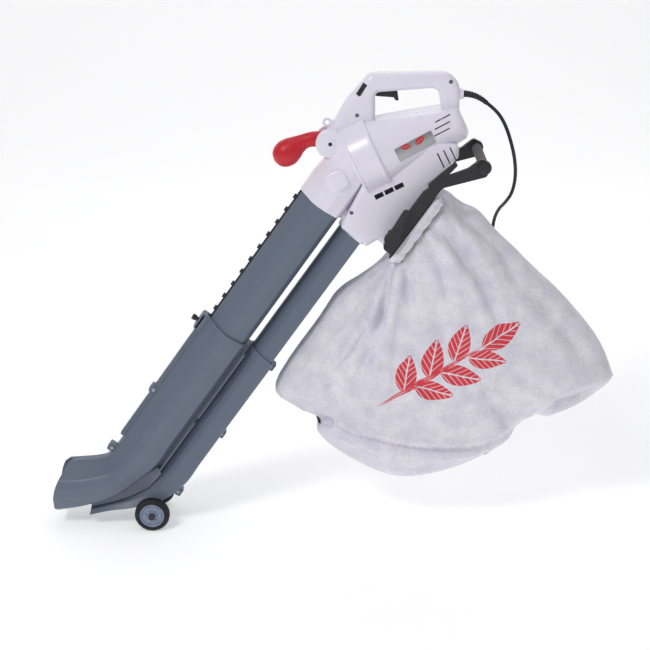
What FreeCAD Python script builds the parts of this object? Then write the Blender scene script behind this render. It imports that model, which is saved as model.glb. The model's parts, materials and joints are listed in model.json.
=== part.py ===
import FreeCAD, Part
import math
import os

# Electric garden blower and vacuum with two parallel ducts, wheels, a catch bag and a cord stub.
# Millimetres. X runs from the nozzle to the rear, Y away from the trigger side, Z up.
# The origin is the centre of the main hand grip.

V = FreeCAD.Vector

# ---- driving dimensions -------------------------------------------------------------------
TUBE_ANGLE = 55.0          # slope of both ducts against the ground
MOTOR_ANGLE = 26.0         # slope of the motor axis against the ground
WALL = 3.0                 # wall of every moulded shell
RUN_CLEARANCE = 0.05       # radial clearance of a shaft in its bearing or bush
SLIDE_CLEARANCE = 1.2      # gap between the telescopic ducts
SIDE_GAP = 0.5             # side gap beside a hinged piece

HANDLE_HALF = 18.0         # half the width of the grip bar
HANDLE_EDGE = 12.0         # rounding of the grip bar
# Side outlines are corners (x, z, radius). The first is the grip loop with the front arm.
HANDLE_OUTLINE = [(-73.0, 17.0, 24.0), (98.0, 20.0, 38.0), (99.0, -92.0, 14.0),
                  (-60.0, -120.0, 14.0), (-156.0, -122.0, 14.0), (-146.0, -88.0, 14.0),
                  (-119.0, -36.0, 30.0)]
HANDLE_HOLE = [(-62.0, -20.0, 9.0), (57.0, -11.0, 15.0), (66.0, -64.0, 9.0), (-61.0, -84.0, 9.0)]
FLAT_TOP = [(-140.0, -83.5), (150.0, -38.5)]     # the motor barrel's flat top, seen from the side
GLAND_RADIUS = 10.0
GLAND_DEPTH = 14.0         # how far the cord gland reaches into the grip
GLAND_STAND = 1.5          # how far it stands out

BODY_HALF = 50.0           # half the width of the collector casing
BODY_EDGE = 9.0            # rounding of the collector casing
COLLECTOR_OUTLINE = [(-127.0, -276.0, 6.0), (-77.0, -314.0, 5.0), (-56.0, -300.0, 5.0),
                     (-32.7, -320.5, 5.0), (48.6, -204.3, 5.0), (40.0, -191.0, 5.0),
                     (97.0, -137.0, 10.0), (97.0, -112.0, 10.0), (20.0, -105.0, 6.0),
                     (-70.0, -160.0, 6.0)]

DRUM_RADIUS = 73.0         # fan drum, outside
DRUM_LENGTH = 50.0         # fan drum along the motor axis
BARREL_FRONT_RADIUS = 70.0
BARREL_REAR_RADIUS = 42.0
BARREL_LENGTH = 222.0      # from the drum's front face to the motor barrel's rear
BARREL_DROP = 8.0          # how far the barrel's rear circle sits below the motor axis
BARREL_EDGE = 18.0         # rounding of the barrel's rear
BULKHEAD = 8.0             # wall between fan drum and motor barrel
VENT_SLOT = 2.6            # width of the motor's air slots
BADGE_OUTLINE = [(-27.0, -117.0, 2.0), (42.0, -83.0, 2.0), (53.0, -106.0, 2.0),
                 (-15.0, -142.0, 2.0)]
BADGE_THICKNESS = 0.8

MAIN_HEIGHT = 86.0         # upper suction duct, outside, across the slope
MAIN_WIDTH = 97.0          # upper suction duct, outside, along Y
BLOW_HEIGHT = 47.0         # upper blow duct, outside, across the slope
BLOW_WIDTH = 92.0          # upper blow duct, outside, along Y
BLOW_CENTRE = 80.5         # blow duct's centre below the main duct's centre
TUBE_WALL = 2.5            # wall of the upper ducts
TUBE_TOP = -235.0          # ducts' upper ends, measured along the slope from the origin
SOCKET_END = -288.0        # end of the casing's duct sockets
SOCKET_WALL = 4.0
UPPER_END = -730.0         # lower ends of the upper ducts
COLLAR = -607.0            # upper end of the lower twin duct
STRAIGHT_END = -925.0      # where the lower twin duct starts to bend
# Half sections of the ducts as (share of the height from the top, share of the half width).
MAIN_SECTION = [(0.0, 0.20), (0.28, 0.88), (0.42, 1.0), (0.62, 1.0), (0.87, 0.84), (1.0, 0.38)]
BLOW_SECTION = [(0.0, 0.16), (0.22, 0.58), (0.42, 0.78), (0.93, 1.0), (1.0, 0.92)]
# Stations of the bends below the straight part: top (x, z), bottom (x, z), half width.
MAIN_BEND = [((-601, -771), (-541, -826), 55.0), ((-625, -781), (-588, -859), 56.5),
             ((-660, -785), (-655, -880), 57.0), ((-694, -788), (-724, -893), 57.0)]
BLOW_BEND = [((-528, -831), (-487, -857), 46.0), ((-565, -856), (-550, -876), 46.0),
             ((-598, -866), (-600, -883), 46.0), ((-640, -878), (-642, -892), 46.0)]
LEFT_BOSSES = (-803.0, -960.0)      # screw bosses along the slope, on each edge
RIGHT_BOSSES = (-625.0, -806.0, -966.0)
BOSS_HALF = 9.0
DUCT_BOSS_RADIUS = 6.5
SCREW_SHANK = 1.8
SCREW_HEAD = 3.6
RIDGE_HALF = 7.5           # the seam ridge along the lower duct's upper edge
RIDGE_TOP = 9.0
RACK_HALF = 3.0            # the toothed rack on the suction duct
RACK_BASE = 3.0
RACK_TOOTH = 4.0
RACK_PITCH = 31.0
LATCH_A = -628.0           # latch knob, along the slope
LATCH_RADIUS = 4.5

WHEEL_RADIUS = 35.0
TYRE_WIDTH = 21.0
HUB_RADIUS = 25.5
AXLE_RADIUS = 4.0
AXLE_X = -511.0
AXLE_Z = -882.0
WHEEL_MIDDLE = 60.0        # wheel's middle plane from the object's middle plane

PIVOT_X = -147.0           # front handle's pivot
PIVOT_Z = -116.0
PIVOT_BOLT = 4.0
BOSS_RADIUS = 28.0
HUB_HALF = 15.0            # half the width of the front handle's hub
HANDLE_HUB_RADIUS = 21.0
HUB_ROOM = 22.5            # radius of the room round that hub
# Room for the front handle's neck over its whole travel, measured from the pivot.
HANDLE_SWEEP = [(0.0, HUB_ROOM), (-45.0, 58.0), (-70.0, 58.0), (-70.0, -74.0), (-34.0, -60.0),
                (0.0, -HUB_ROOM)]
KNOB_X = -231.0            # front handle's knob
KNOB_Z = -140.0
KNOB_RADIUS = 25.0
# Stations of the front handle's neck: centre x, z, half height, half width, heading in degrees.
NECK = [(-155.0, -113.5, 17.0, 13.0, 178.0), (-180.0, -113.5, 18.0, 13.5, 182.0),
        (-203.0, -121.5, 16.5, 14.5, 208.0), (-224.0, -135.0, 17.5, 17.0, 214.0)]
BOLT_HEAD = 7.0            # radius of the pivot bolt's and the grip bolt's heads
PIVOT_HEAD_INNER = 21.0    # inner face of the pivot bolt's head and nut
EYE_X = -153.0             # strap eye
EYE_Z = -79.0
EYE_BORE = 4.5
EYE_OUTER = 9.0
EYE_HALF = 4.0

TRIGGER_FRONT = -64.0
TRIGGER_REAR = -16.0
TRIGGER_HALF = 6.0
TRIGGER_PIN_X = -60.0
TRIGGER_PIN_Z = -14.0
TRIGGER_PIN = 2.0
TRIGGER_OUTLINE = [(-64.5, -9.0, 2.0), (-55.0, -9.0, 2.0), (-50.0, -15.0, 2.0),
                   (-20.0, -17.0, 2.0), (-17.0, -36.0, 2.0), (-23.0, -36.0, 2.0),
                   (-27.0, -30.0, 2.0), (-61.0, -27.5, 3.0), (-64.5, -21.0, 2.0)]
SPRING_COIL = 1.4          # thickness of the trigger spring's coil
SPRING_LENGTH = 5.0
SELECTOR_X = -88.0         # middle of the selector's window on the front arm
SELECTOR_Z = -13.0
SELECTOR_TURN = 57.0
SELECTOR_LONG = 13.0       # half the window's length and width
SELECTOR_WIDE = 4.5
SELECTOR_DEPTH = 9.0

SHAFT_RADIUS = 4.0
STATOR_RIBS = (80.0, 116.0)     # ribs round the stator, brushes and rear bearing, along the axis
BRUSH_RIB = 144.0
REAR_RIB = 172.0
RIB = 5.0
EYE_OF_FAN = 42.0          # radius of the fan's air inlet
FAN_START = 12.0
FAN_DISC = 36.0
FAN_END = 42.0
FAN_BLADES = 8
FAN_HUB = 14.0
STATOR_RADIUS = 34.0
STATOR_BORE = 24.0
BRUSH_RING_RADIUS = 28.0
ARMATURE_RADIUS = 23.0
BEARING_RADIUS = 11.0
BEARING_WIDTH = 7.0
FAN_RADIUS = 62.0

FLANGE_LOW = -285.0        # outlet flange, along the slope
FLANGE_HIGH = -141.0
FLANGE_FACE = 157.0        # outlet flange's face below the main duct's centre line
OUTLET_HALF = 40.0         # half the outlet hole's width
OUTLET_RIM = 14.0          # from the flange's ends to the outlet hole
RING_DEPTH = 16.0          # bag ring, thickness along the outlet
RING_START = FLANGE_FACE + 0.3
RING_END = RING_START + RING_DEPTH
ARM_INNER = 78.0           # bag frame arms, distance of the inner face from the middle
ARM_OUTER = 88.0
GRIP_X = 142.0
GRIP_Z = -147.0
GRIP_RADIUS = 9.5
GRIP_BOLT = 3.0
HOOK_OUTLINE = [(38.0, -196.0, 2.0), (38.0, -179.0, 3.0), (60.0, -159.0, 6.0), (87.0, -136.0, 2.0),
                (92.0, -142.0, 2.0), (68.0, -168.0, 3.0)]
# The full bag's side outline (x, z) after its mouth, and its levels across the width:
# distance from the middle, share of the outline's size, share of the mouth's size.
BAG_OUTLINE = [(124, -240), (146, -246), (188, -290), (309, -405), (392, -502), (427, -571),
               (425, -597), (352, -655), (262, -688), (222, -742), (122, -790), (10, -811),
               (-83, -779), (-160, -724), (-176, -678), (-230, -645), (-261, -601),
               (-172, -463), (-131, -404), (-66, -372)]
BAG_CENTRE = V(95, 0, -520)
BAG_LEVELS = [(-94.0, 0.66, 0.5), (-76.0, 0.84, 0.95), (-46.0, 0.95, 1.0), (0.0, 1.0, 1.0),
              (46.0, 0.95, 1.0), (76.0, 0.84, 0.95), (94.0, 0.66, 0.5)]
BAG_REACH = 250.0          # mean reach of the outline from its centre, which the wall is a share of
BAG_WALL = 2.0

LEVER_A = -250.0           # mode lever's axis in the duct frame
LEVER_B = 140.0
LEVER_RADIUS = 16.0
LEVER_SHAFT = 4.0
LEVER_NEAR = -101.0        # near and far faces of the mode lever's hub
LEVER_FAR = -90.0
NOTCH_GAP = 4.0            # room round the lever's shaft in the bag frame

# Casing screws: x, z and the outer face of the head, which points to the trigger side.
CASING_SCREWS = [(-106.0, -245.0, -44.0), (80.0, 2.0, -15.5), (-96.0, -62.0, -15.5)]
CASING_SCREW_END = 10.0
SCREW_POST = 5.0           # radius of the posts that the casing screws run in

PLUG_LENGTH = 44.0
PLUG_NECK = 20.0
PIN_LENGTH = 19.0
PIN_RADIUS = 2.4
PIN_SPACING = 19.0
BOOT_RADIUS = 6.5
BOOT_END = 1.2             # how much thicker than the cord the boot ends
CORD_DIAMETER = 6.8
CORD_EXIT = V(104.0, 0.0, -24.0)
# The cord's route, from its boot to its plug.
CORD_ROUTE = [
    V(151.0, 0.0, -42.0),
    V(171.0, 0.0, -57.0),
    V(188.0, 0.0, -84.0),
    V(200.0, 0.0, -117.0),
    V(209.0, 0.0, -152.0),
    V(212.0, 2.0, -188.0),
    V(208.0, 14.0, -222.0),
    V(199.0, 40.0, -248.0),
    V(190.0, 73.0, -270.0),
    V(184.0, 98.0, -298.0),
    V(182.0, 108.0, -332.0),
    V(183.0, 110.0, -366.0),
]

# ---- directions -------------------------------------------------------------------------
SLOPE = math.radians(TUBE_ANGLE)
UP_SLOPE = V(math.cos(SLOPE), 0, math.sin(SLOPE))
OFF_SLOPE = V(math.sin(SLOPE), 0, -math.cos(SLOPE))
TILT = math.radians(MOTOR_ANGLE)
MOTOR_AXIS = V(math.cos(TILT), 0, math.sin(TILT))
MOTOR_DOWN = V(math.sin(TILT), 0, -math.cos(TILT))
DRUM_CENTRE = V(-99.0, 0, -156.0)
ACROSS = V(0, 1, 0)
BEYOND = 200.0             # reach of a cutting shape past everything that it cuts


def duct_point(along, off, side=0.0):
    """Point in the duct frame: along the slope, off it to the lower right, and sideways."""
    return UP_SLOPE * along + OFF_SLOPE * off + ACROSS * side


def motor_point(along, down, side=0.0):
    """Point in the motor frame: along the motor axis from the drum's front, below it, sideways."""
    return DRUM_CENTRE + MOTOR_AXIS * along + MOTOR_DOWN * down + ACROSS * side


def side_point(x, z, side=0.0):
    return V(x, side, z)


ARM_LOW = FLANGE_FACE - 23
# The bag frame's arm from the side, corner by corner, and the rounding of each corner.
ARM_OUTLINE = [duct_point(FLANGE_LOW + 8, ARM_LOW), duct_point(FLANGE_LOW + 8, RING_START + 1),
               duct_point(FLANGE_HIGH - 4, RING_START + 1), V(64, 0, -186), V(147, 0, -164),
               V(156, 0, -140), V(136, 0, -129), V(112, 0, -148), V(70, 0, -164),
               duct_point(FLANGE_HIGH - 2, ARM_LOW)]
ARM_ROUNDING = [9.0, 6.0, 14.0, 14.0, 10.0, 10.0, 8.0, 12.0, 12.0, 12.0]
BAG_MOUTH = [duct_point(FLANGE_LOW - 2, RING_END), duct_point(FLANGE_HIGH + 2, RING_END)]


# ---- shape helpers ------------------------------------------------------------------------
def rounded_wire(corners, place, side=0.0):
    """Closed wire through corners (p, q, radius), each corner an arc of its own radius."""
    edges = []
    count = len(corners)
    arcs = []
    for i in range(count):
        p, q, radius = corners[i]
        here = place(p, q, side)
        before = place(corners[i - 1][0], corners[i - 1][1], side)
        after = place(corners[(i + 1) % count][0], corners[(i + 1) % count][1], side)
        back = (before - here).normalize()
        ahead = (after - here).normalize()
        half = back.getAngle(ahead) / 2
        run = radius / math.tan(half)
        middle = here + (back + ahead).normalize() * (radius / math.sin(half) - radius)
        arcs.append((here + back * run, middle, here + ahead * run, radius))
    for i in range(count):
        start, middle, end, radius = arcs[i]
        if radius > 0:
            edges.append(Part.Arc(start, middle, end).toShape())
        following = arcs[(i + 1) % count][0]
        if (following - end).Length > 1e-6:
            edges.append(Part.LineSegment(end, following).toShape())
    return Part.Wire(edges)


def rim_edges(solid, half):
    """Edges that lie wholly in the two side planes at plus and minus half."""
    rims = []
    for edge in solid.Edges:
        sides = [abs(abs(vertex.Y) - half) for vertex in edge.Vertexes]
        same = len({round(vertex.Y) for vertex in edge.Vertexes}) == 1
        if same and max(sides) < 1e-4:
            rims.append(edge)
    return rims


def pad(corners, half, edge_radius=0.0, place=side_point):
    """Side outline made as thick as twice half, its two rims rounded."""
    solid = Part.Face(rounded_wire(corners, place, -half)).extrude(V(0, 2 * half, 0))
    if edge_radius > 0:
        solid = solid.makeFillet(edge_radius, rim_edges(solid, half))
    return solid


def inset(corners, distance):
    """The outline moved inwards by distance, its corner arcs kept concentric."""
    count = len(corners)
    area = 0.0
    for i in range(count):
        p, q = corners[i][:2]
        r, s = corners[(i + 1) % count][:2]
        area += p * s - r * q
    turn = 1.0 if area > 0 else -1.0
    result = []
    for i in range(count):
        p0, q0 = corners[i - 1][:2]
        p1, q1, radius = corners[i]
        p2, q2 = corners[(i + 1) % count][:2]
        before = math.atan2(q1 - q0, p1 - p0)
        after = math.atan2(q2 - q1, p2 - p1)
        bend = (after - before + math.pi) % (2 * math.pi) - math.pi
        middle = before + bend / 2
        reach = distance / math.cos(bend / 2)
        new_radius = radius - distance if bend * turn > 0 else radius + distance
        result.append((p1 - math.sin(middle) * reach * turn,
                       q1 + math.cos(middle) * reach * turn, max(new_radius, 0.5)))
    return result


def rod(start, end, radius):
    """Round bar between two points."""
    axis = end - start
    return Part.makeCylinder(radius, axis.Length, start, axis)


def tube(start, end, radius, bore):
    return rod(start, end, radius).cut(rod(start, end, bore))


def side_rod(x, z, radius, low, high):
    """Round bar along Y."""
    return rod(V(x, low, z), V(x, high, z), radius)


def motor_rod(start, end, radius):
    return rod(motor_point(start, 0), motor_point(end, 0), radius)


def motor_ring(start, end, radius, bore):
    return motor_rod(start, end, radius).cut(motor_rod(start - 1, end + 1, bore))


def block(place, p_low, p_high, q_low, q_high, side_low, side_high):
    """Box aligned with one of the frames."""
    corners = [place(p_low, q_low, side_low), place(p_high, q_low, side_low),
               place(p_high, q_high, side_low), place(p_low, q_high, side_low)]
    face = Part.Face(Part.makePolygon(corners + corners[:1]))
    return face.extrude(V(0, side_high - side_low, 0))


def near_side(solid):
    """The part of a solid on the trigger side of the middle plane."""
    return solid.common(Part.makeBox(2400, 600, 2400, V(-1200, -600, -1600)))


def far_side(solid):
    return solid.common(Part.makeBox(2400, 600, 2400, V(-1200, 0, -1600)))


def fused(solids):
    whole = solids[0].multiFuse(solids[1:]) if len(solids) > 1 else solids[0]
    return whole.removeSplitter()


# ---- duct sections --------------------------------------------------------------------------
def section_wire(section, top, bottom, half_width):
    """Polygon of one duct section between its top and bottom points."""
    drop = bottom - top
    points = [top + drop * share + ACROSS * (-half_width * width) for share, width in section]
    points += [top + drop * share + ACROSS * (half_width * width)
               for share, width in reversed(section)]
    return Part.makePolygon(points + points[:1])


def duct_prism(section, centre, height, width, start, end):
    """Straight duct body along the slope."""
    top = duct_point(start, centre - height / 2)
    bottom = duct_point(start, centre + height / 2)
    face = Part.Face(section_wire(section, top, bottom, width / 2))
    return face.extrude(UP_SLOPE * (end - start))


def bent_duct(section, stations, wall):
    """Body lofted through stations (top, bottom, half width), each inset by a wall."""
    wires = []
    for top, bottom, half_width in stations:
        down = (bottom - top).normalize()
        wires.append(section_wire(section, top + down * wall, bottom - down * wall,
                                  half_width - wall))
    return Part.makeLoft(wires, True, True)


# ---- upper casing: grip, front arm, fan drum, motor barrel -----------------------------------
def grip_loop(depth):
    """Grip loop with its hand opening, all rims rounded."""
    outer = Part.Face(rounded_wire(inset(HANDLE_OUTLINE, depth), side_point,
                                   -(HANDLE_HALF - depth)))
    hole = Part.Face(rounded_wire(inset(HANDLE_HOLE, -depth), side_point, -(HANDLE_HALF - depth)))
    solid = outer.cut(hole).extrude(V(0, 2 * (HANDLE_HALF - depth), 0))
    return solid.makeFillet(HANDLE_EDGE - depth, rim_edges(solid, HANDLE_HALF - depth))


def barrel_body(depth):
    """Tapered motor barrel with a rounded rear and a flat top."""
    front = Part.Circle(motor_point(DRUM_LENGTH - 4, 0), MOTOR_AXIS, BARREL_FRONT_RADIUS - depth)
    rear = Part.Circle(motor_point(BARREL_LENGTH - depth, BARREL_DROP), MOTOR_AXIS,
                       BARREL_REAR_RADIUS - depth)
    cone = Part.makeLoft([Part.Wire(front.toShape()), Part.Wire(rear.toShape())], True, True)
    rear_rim = [edge for edge in cone.Edges if edge.isClosed()
                and (edge.CenterOfMass - rear.Center).Length < 1]
    cone = cone.makeFillet(BARREL_EDGE - depth, rear_rim)
    (x0, z0), (x1, z1) = FLAT_TOP
    corners = [V(x0, -BEYOND, z0 - depth), V(x1, -BEYOND, z1 - depth),
               V(x1, -BEYOND, z1 + BEYOND), V(x0, -BEYOND, z0 + BEYOND)]
    top = Part.Face(Part.makePolygon(corners + corners[:1])).extrude(V(0, 2 * BEYOND, 0))
    return cone.cut(top)


def drum_body():
    drum = motor_rod(0, DRUM_LENGTH, DRUM_RADIUS)
    return drum.makeFillet(5.0, [edge for edge in drum.Edges if edge.isClosed()])


def pivot_boss():
    boss = side_rod(PIVOT_X, PIVOT_Z, BOSS_RADIUS, -26.0, 26.0)
    boss = boss.makeFillet(4.0, [edge for edge in boss.Edges if edge.isClosed()])
    return boss


def strap_eye_lug():
    lug = side_rod(EYE_X, EYE_Z, EYE_OUTER, -EYE_HALF, EYE_HALF)
    root = Part.makeBox(16, 2 * EYE_HALF, 14, V(EYE_X, -EYE_HALF, EYE_Z - 9))
    return lug.fuse(root)


def upper_outer():
    return fused([grip_loop(0.0), barrel_body(0.0), drum_body(), pivot_boss(), strap_eye_lug()])


def motor_space():
    """Inside of the motor barrel, with ribs left standing round stator, brushes and bearing."""
    space = barrel_body(WALL).cut(motor_rod(0, DRUM_LENGTH - 2 + BULKHEAD, DRUM_RADIUS))
    for place, bore in [(STATOR_RIBS[0], STATOR_RADIUS), (STATOR_RIBS[1], STATOR_RADIUS),
                        (BRUSH_RIB, BRUSH_RING_RADIUS), (REAR_RIB, BEARING_RADIUS)]:
        space = space.cut(motor_ring(place, place + RIB, 3 * DRUM_RADIUS, bore))
    return space


def drum_space():
    return motor_rod(WALL, DRUM_LENGTH - 2, DRUM_RADIUS - WALL)


def bulkhead_seat():
    """Bore for the front bearing through the bulkhead."""
    return motor_rod(DRUM_LENGTH - 3, DRUM_LENGTH - 1 + BULKHEAD, BEARING_RADIUS)


def fan_inlet():
    return motor_rod(-2, WALL + 2, EYE_OF_FAN)


def front_handle_slot():
    """Room in the boss for the front handle's hub, for its neck's sweep and for its bolt."""
    half = HUB_HALF + SIDE_GAP
    hub = side_rod(PIVOT_X, PIVOT_Z, HUB_ROOM, -half, half)
    sweep = pad([(PIVOT_X + x, PIVOT_Z + z, 0.0) for x, z in HANDLE_SWEEP], half)
    bolt = side_rod(PIVOT_X, PIVOT_Z, PIVOT_BOLT, -60, 60)
    heads = [side_rod(PIVOT_X, PIVOT_Z, BOLT_HEAD + SIDE_GAP, PIVOT_HEAD_INNER, 40),
             side_rod(PIVOT_X, PIVOT_Z, BOLT_HEAD + SIDE_GAP, -40, -PIVOT_HEAD_INNER)]
    return [hub, sweep, bolt] + heads


def trigger_slot():
    """Slot for the trigger in the grip's underside, with room for its spring beside it."""
    half = TRIGGER_HALF + SIDE_GAP
    low, high = -30.0, -4.0
    slot = Part.makeBox(TRIGGER_REAR + 5 - TRIGGER_FRONT + 2, 2 * half, high - low,
                        V(TRIGGER_FRONT - 2, -half, low))
    coil = side_rod(TRIGGER_PIN_X, TRIGGER_PIN_Z, TRIGGER_PIN + SPRING_COIL + SIDE_GAP, half - 1,
                    half + SPRING_LENGTH + 1)
    return slot.fuse(coil)


def selector_point(along, off, side=0.0):
    """Point in the frame of the switch window on the front arm."""
    angle = math.radians(SELECTOR_TURN)
    return V(SELECTOR_X + along * math.cos(angle) + off * math.sin(angle), side,
             SELECTOR_Z + along * math.sin(angle) - off * math.cos(angle))


def selector_window():
    return block(selector_point, -SELECTOR_LONG, SELECTOR_LONG, -SELECTOR_WIDE, SELECTOR_WIDE,
                 -HANDLE_HALF - 2, -HANDLE_HALF + SELECTOR_DEPTH)


def motor_vents():
    """Three slots on each side near the barrel's rear, and three below them."""
    cuts = []
    for row in range(3):
        cuts.append(block(motor_point, 172 - 6 * row, 204 - 6 * row, -14 + 11 * row,
                          -14 + 11 * row + VENT_SLOT, -80, 80))
    return cuts


def gland_seat():
    return rod(CORD_EXIT - V(GLAND_DEPTH, 0, 0), CORD_EXIT + V(2, 0, 0), GLAND_RADIUS)


def screw_posts(places, half):
    """Posts between the walls of the casing halves, for the casing screws."""
    return [side_rod(x, z, SCREW_POST, -half + 1, half - 1) for x, z, _ in places]


def screw_bores(places):
    """Pilot holes of the casing screws and the recesses of their heads."""
    cuts = []
    for x, z, head in places:
        cuts.append(side_rod(x, z, SCREW_SHANK, head, CASING_SCREW_END))
        cuts.append(side_rod(x, z, SCREW_HEAD + 0.2, head - 40, head + 2.5))
    return cuts


def upper_shell():
    outer = upper_outer()
    grip_space = grip_loop(WALL)
    keep = [motor_rod(0, DRUM_LENGTH + BULKHEAD - 2, DRUM_RADIUS),
            side_rod(PIVOT_X, PIVOT_Z, BOSS_RADIUS + 6, -30, 30)]
    for solid in keep:
        grip_space = grip_space.cut(solid)
    places = CASING_SCREWS[1:]
    grip_space = grip_space.cut(screw_posts(places, HANDLE_HALF))
    inside = [grip_space, motor_space(), drum_space(), bulkhead_seat(), fan_inlet(),
              trigger_slot(), selector_window(), gland_seat(), fan_outlet()]
    bores = [side_rod(EYE_X, EYE_Z, EYE_BORE, -20, 20), trigger_pin(0.0)]
    return outer.cut(inside + bores + screw_bores(places) + front_handle_slot() + motor_vents())


# ---- collector casing --------------------------------------------------------------------
def socket_body(depth):
    """Both duct sockets of the collector."""
    grow = 2 * (SOCKET_WALL - depth)
    main = duct_prism(MAIN_SECTION, 0.0, MAIN_HEIGHT + grow, MAIN_WIDTH + grow, SOCKET_END, -128)
    blow = duct_prism(BLOW_SECTION, BLOW_CENTRE, BLOW_HEIGHT + grow, BLOW_WIDTH + grow,
                      SOCKET_END - 14, -190)
    return main, blow


def fan_outlet():
    """Way from the fan drum down into the outlet channel."""
    return block(motor_point, WALL + 3, DRUM_LENGTH - 6, 40, DRUM_RADIUS + 12, -26, 26)


def collector_shell(upper):
    main, blow = socket_body(0.0)
    places = CASING_SCREWS[:1]
    outer = fused([pad(COLLECTOR_OUTLINE, BODY_HALF, BODY_EDGE), main, blow])
    inside = pad(inset(COLLECTOR_OUTLINE, WALL), BODY_HALF - WALL, BODY_EDGE - WALL)
    inside = inside.cut([duct_prism(MAIN_SECTION, 0.0, MAIN_HEIGHT + 8, MAIN_WIDTH + 8,
                                    SOCKET_END - 5, -100)] + screw_posts(places, BODY_HALF))
    seats = [duct_prism(MAIN_SECTION, 0.0, MAIN_HEIGHT + 0.2, MAIN_WIDTH + 0.2, SOCKET_END - 1,
                        TUBE_TOP),
             duct_prism(BLOW_SECTION, BLOW_CENTRE, BLOW_HEIGHT + 0.2, BLOW_WIDTH + 0.2,
                        SOCKET_END - 15, TUBE_TOP - 5)]
    air = [duct_prism(MAIN_SECTION, 0.0, MAIN_HEIGHT - 4, MAIN_WIDTH - 4, SOCKET_END - 1, -140),
           duct_prism(BLOW_SECTION, BLOW_CENTRE, BLOW_HEIGHT - 4, BLOW_WIDTH - 4, SOCKET_END - 15,
                      -205), inside, outlet_hole(-20, 8)]
    return outer.cut(seats + air + [lever_hole()] + screw_bores(places) + cooling_slots()
                     + front_handle_slot() + [upper])


def outlet_hole(start, end):
    """The outlet's way through the casing, the ring and the bag, measured from the flange's face."""
    return block(duct_point, FLANGE_LOW + OUTLET_RIM, FLANGE_HIGH - OUTLET_RIM,
                 FLANGE_FACE + start, FLANGE_FACE + end, -OUTLET_HALF, OUTLET_HALF)


def lever_hole():
    low = duct_point(LEVER_A, LEVER_B, -70)
    return rod(low, low + V(0, 140, 0), LEVER_RADIUS / 2)


def cooling_slots():
    """Three air slots on each side under the drum, and the three behind them."""
    cuts = []
    for i in range(3):
        start = 8 + 21 * i
        cuts.append(block(motor_point, start, start + 18, 64, 74, -70, -BODY_HALF + WALL + 2))
        cuts.append(block(motor_point, start, start + 18, 64, 74, BODY_HALF - WALL - 2, 70))
    for i in range(3):
        start = 150 + 13 * i
        cuts.append(block(motor_point, start, start + VENT_SLOT, 42, 74, -70, 70))
    return cuts


# ---- motor and fan ---------------------------------------------------------------------
def fan():
    body = motor_rod(FAN_DISC, FAN_DISC + 3, FAN_RADIUS).fuse(motor_rod(FAN_START, FAN_END, FAN_HUB))
    for i in range(FAN_BLADES):
        blade = block(motor_point, FAN_START + 2, FAN_DISC + 1, -FAN_RADIUS + 3, -FAN_HUB + 2, -1.2, 1.2)
        blade.rotate(DRUM_CENTRE, MOTOR_AXIS, 360.0 * i / FAN_BLADES)
        body = body.fuse(blade)
    return body.cut(motor_rod(0, FAN_END + 1, SHAFT_RADIUS)).removeSplitter()


def motor_shaft():
    return motor_rod(FAN_START - 8, REAR_RIB + RIB + 5, SHAFT_RADIUS)


def fan_nut():
    return motor_ring(FAN_START - 5, FAN_START, 8.0, SHAFT_RADIUS)


def armature():
    return motor_ring(STATOR_RIBS[0], STATOR_RIBS[1] + RIB, ARMATURE_RADIUS, SHAFT_RADIUS)


def commutator():
    return motor_ring(BRUSH_RIB - 6, BRUSH_RIB + RIB + 6, 13.0, SHAFT_RADIUS)


def stator():
    return motor_ring(STATOR_RIBS[0] - 2, STATOR_RIBS[1] + RIB + 2, STATOR_RADIUS, STATOR_BORE)


def bearing(start):
    return motor_ring(start, start + BEARING_WIDTH, BEARING_RADIUS, SHAFT_RADIUS + RUN_CLEARANCE)


def brush_boxes(half, inner, outer, margin):
    low = BRUSH_RIB - 2 + margin
    high = BRUSH_RIB + RIB + 2 - margin
    near = block(motor_point, low, high, -half, half, -outer, -inner)
    far = block(motor_point, low, high, -half, half, inner, outer)
    return near, far


def brush_holder():
    ring = motor_ring(BRUSH_RIB - 2, BRUSH_RIB + RIB + 2, BRUSH_RING_RADIUS, 23.0)
    near, far = brush_boxes(6.0, 16.0, 25.0, 0.0)
    near_hole, far_hole = brush_boxes(4.0, 12.0, 26.0, 2.0)
    return ring.fuse([near, far]).cut([near_hole, far_hole]).removeSplitter()


def brushes():
    near, far = brush_boxes(4.0, 13.4, 25.0, 2.0)
    return Part.makeCompound([near, far])


# ---- controls ---------------------------------------------------------------------------
def trigger_pin(clearance):
    return side_rod(TRIGGER_PIN_X, TRIGGER_PIN_Z, TRIGGER_PIN + clearance, -16.5, 16.5)


def trigger():
    body = pad(TRIGGER_OUTLINE, TRIGGER_HALF, 1.0)
    return body.cut(side_rod(TRIGGER_PIN_X, TRIGGER_PIN_Z, TRIGGER_PIN + RUN_CLEARANCE, -20, 20))


def trigger_spring():
    """Torsion spring's coil on the trigger pin, beside the trigger."""
    low = TRIGGER_HALF + SIDE_GAP
    high = low + SPRING_LENGTH
    coil = side_rod(TRIGGER_PIN_X, TRIGGER_PIN_Z, TRIGGER_PIN + SPRING_COIL, low, high)
    return coil.cut(side_rod(TRIGGER_PIN_X, TRIGGER_PIN_Z, TRIGGER_PIN, low - 1, high + 1))


def switch_module():
    half = HANDLE_HALF - WALL
    return Part.makeBox(32, 2 * half, 10, V(-56, -half, -6))


def selector_tray():
    return block(selector_point, -SELECTOR_LONG, SELECTOR_LONG, -SELECTOR_WIDE, SELECTOR_WIDE,
                 -HANDLE_HALF + 2, -HANDLE_HALF + 6)


def selector_slider():
    low = -HANDLE_HALF - 1.5
    knob = block(selector_point, -11, -1, -4.2, 4.2, low, -HANDLE_HALF + 1.9)
    return knob.makeChamfer(0.6, [edge for edge in knob.Edges
                                  if all(abs(v.Y - low) < 1e-4 for v in edge.Vertexes)])


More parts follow.
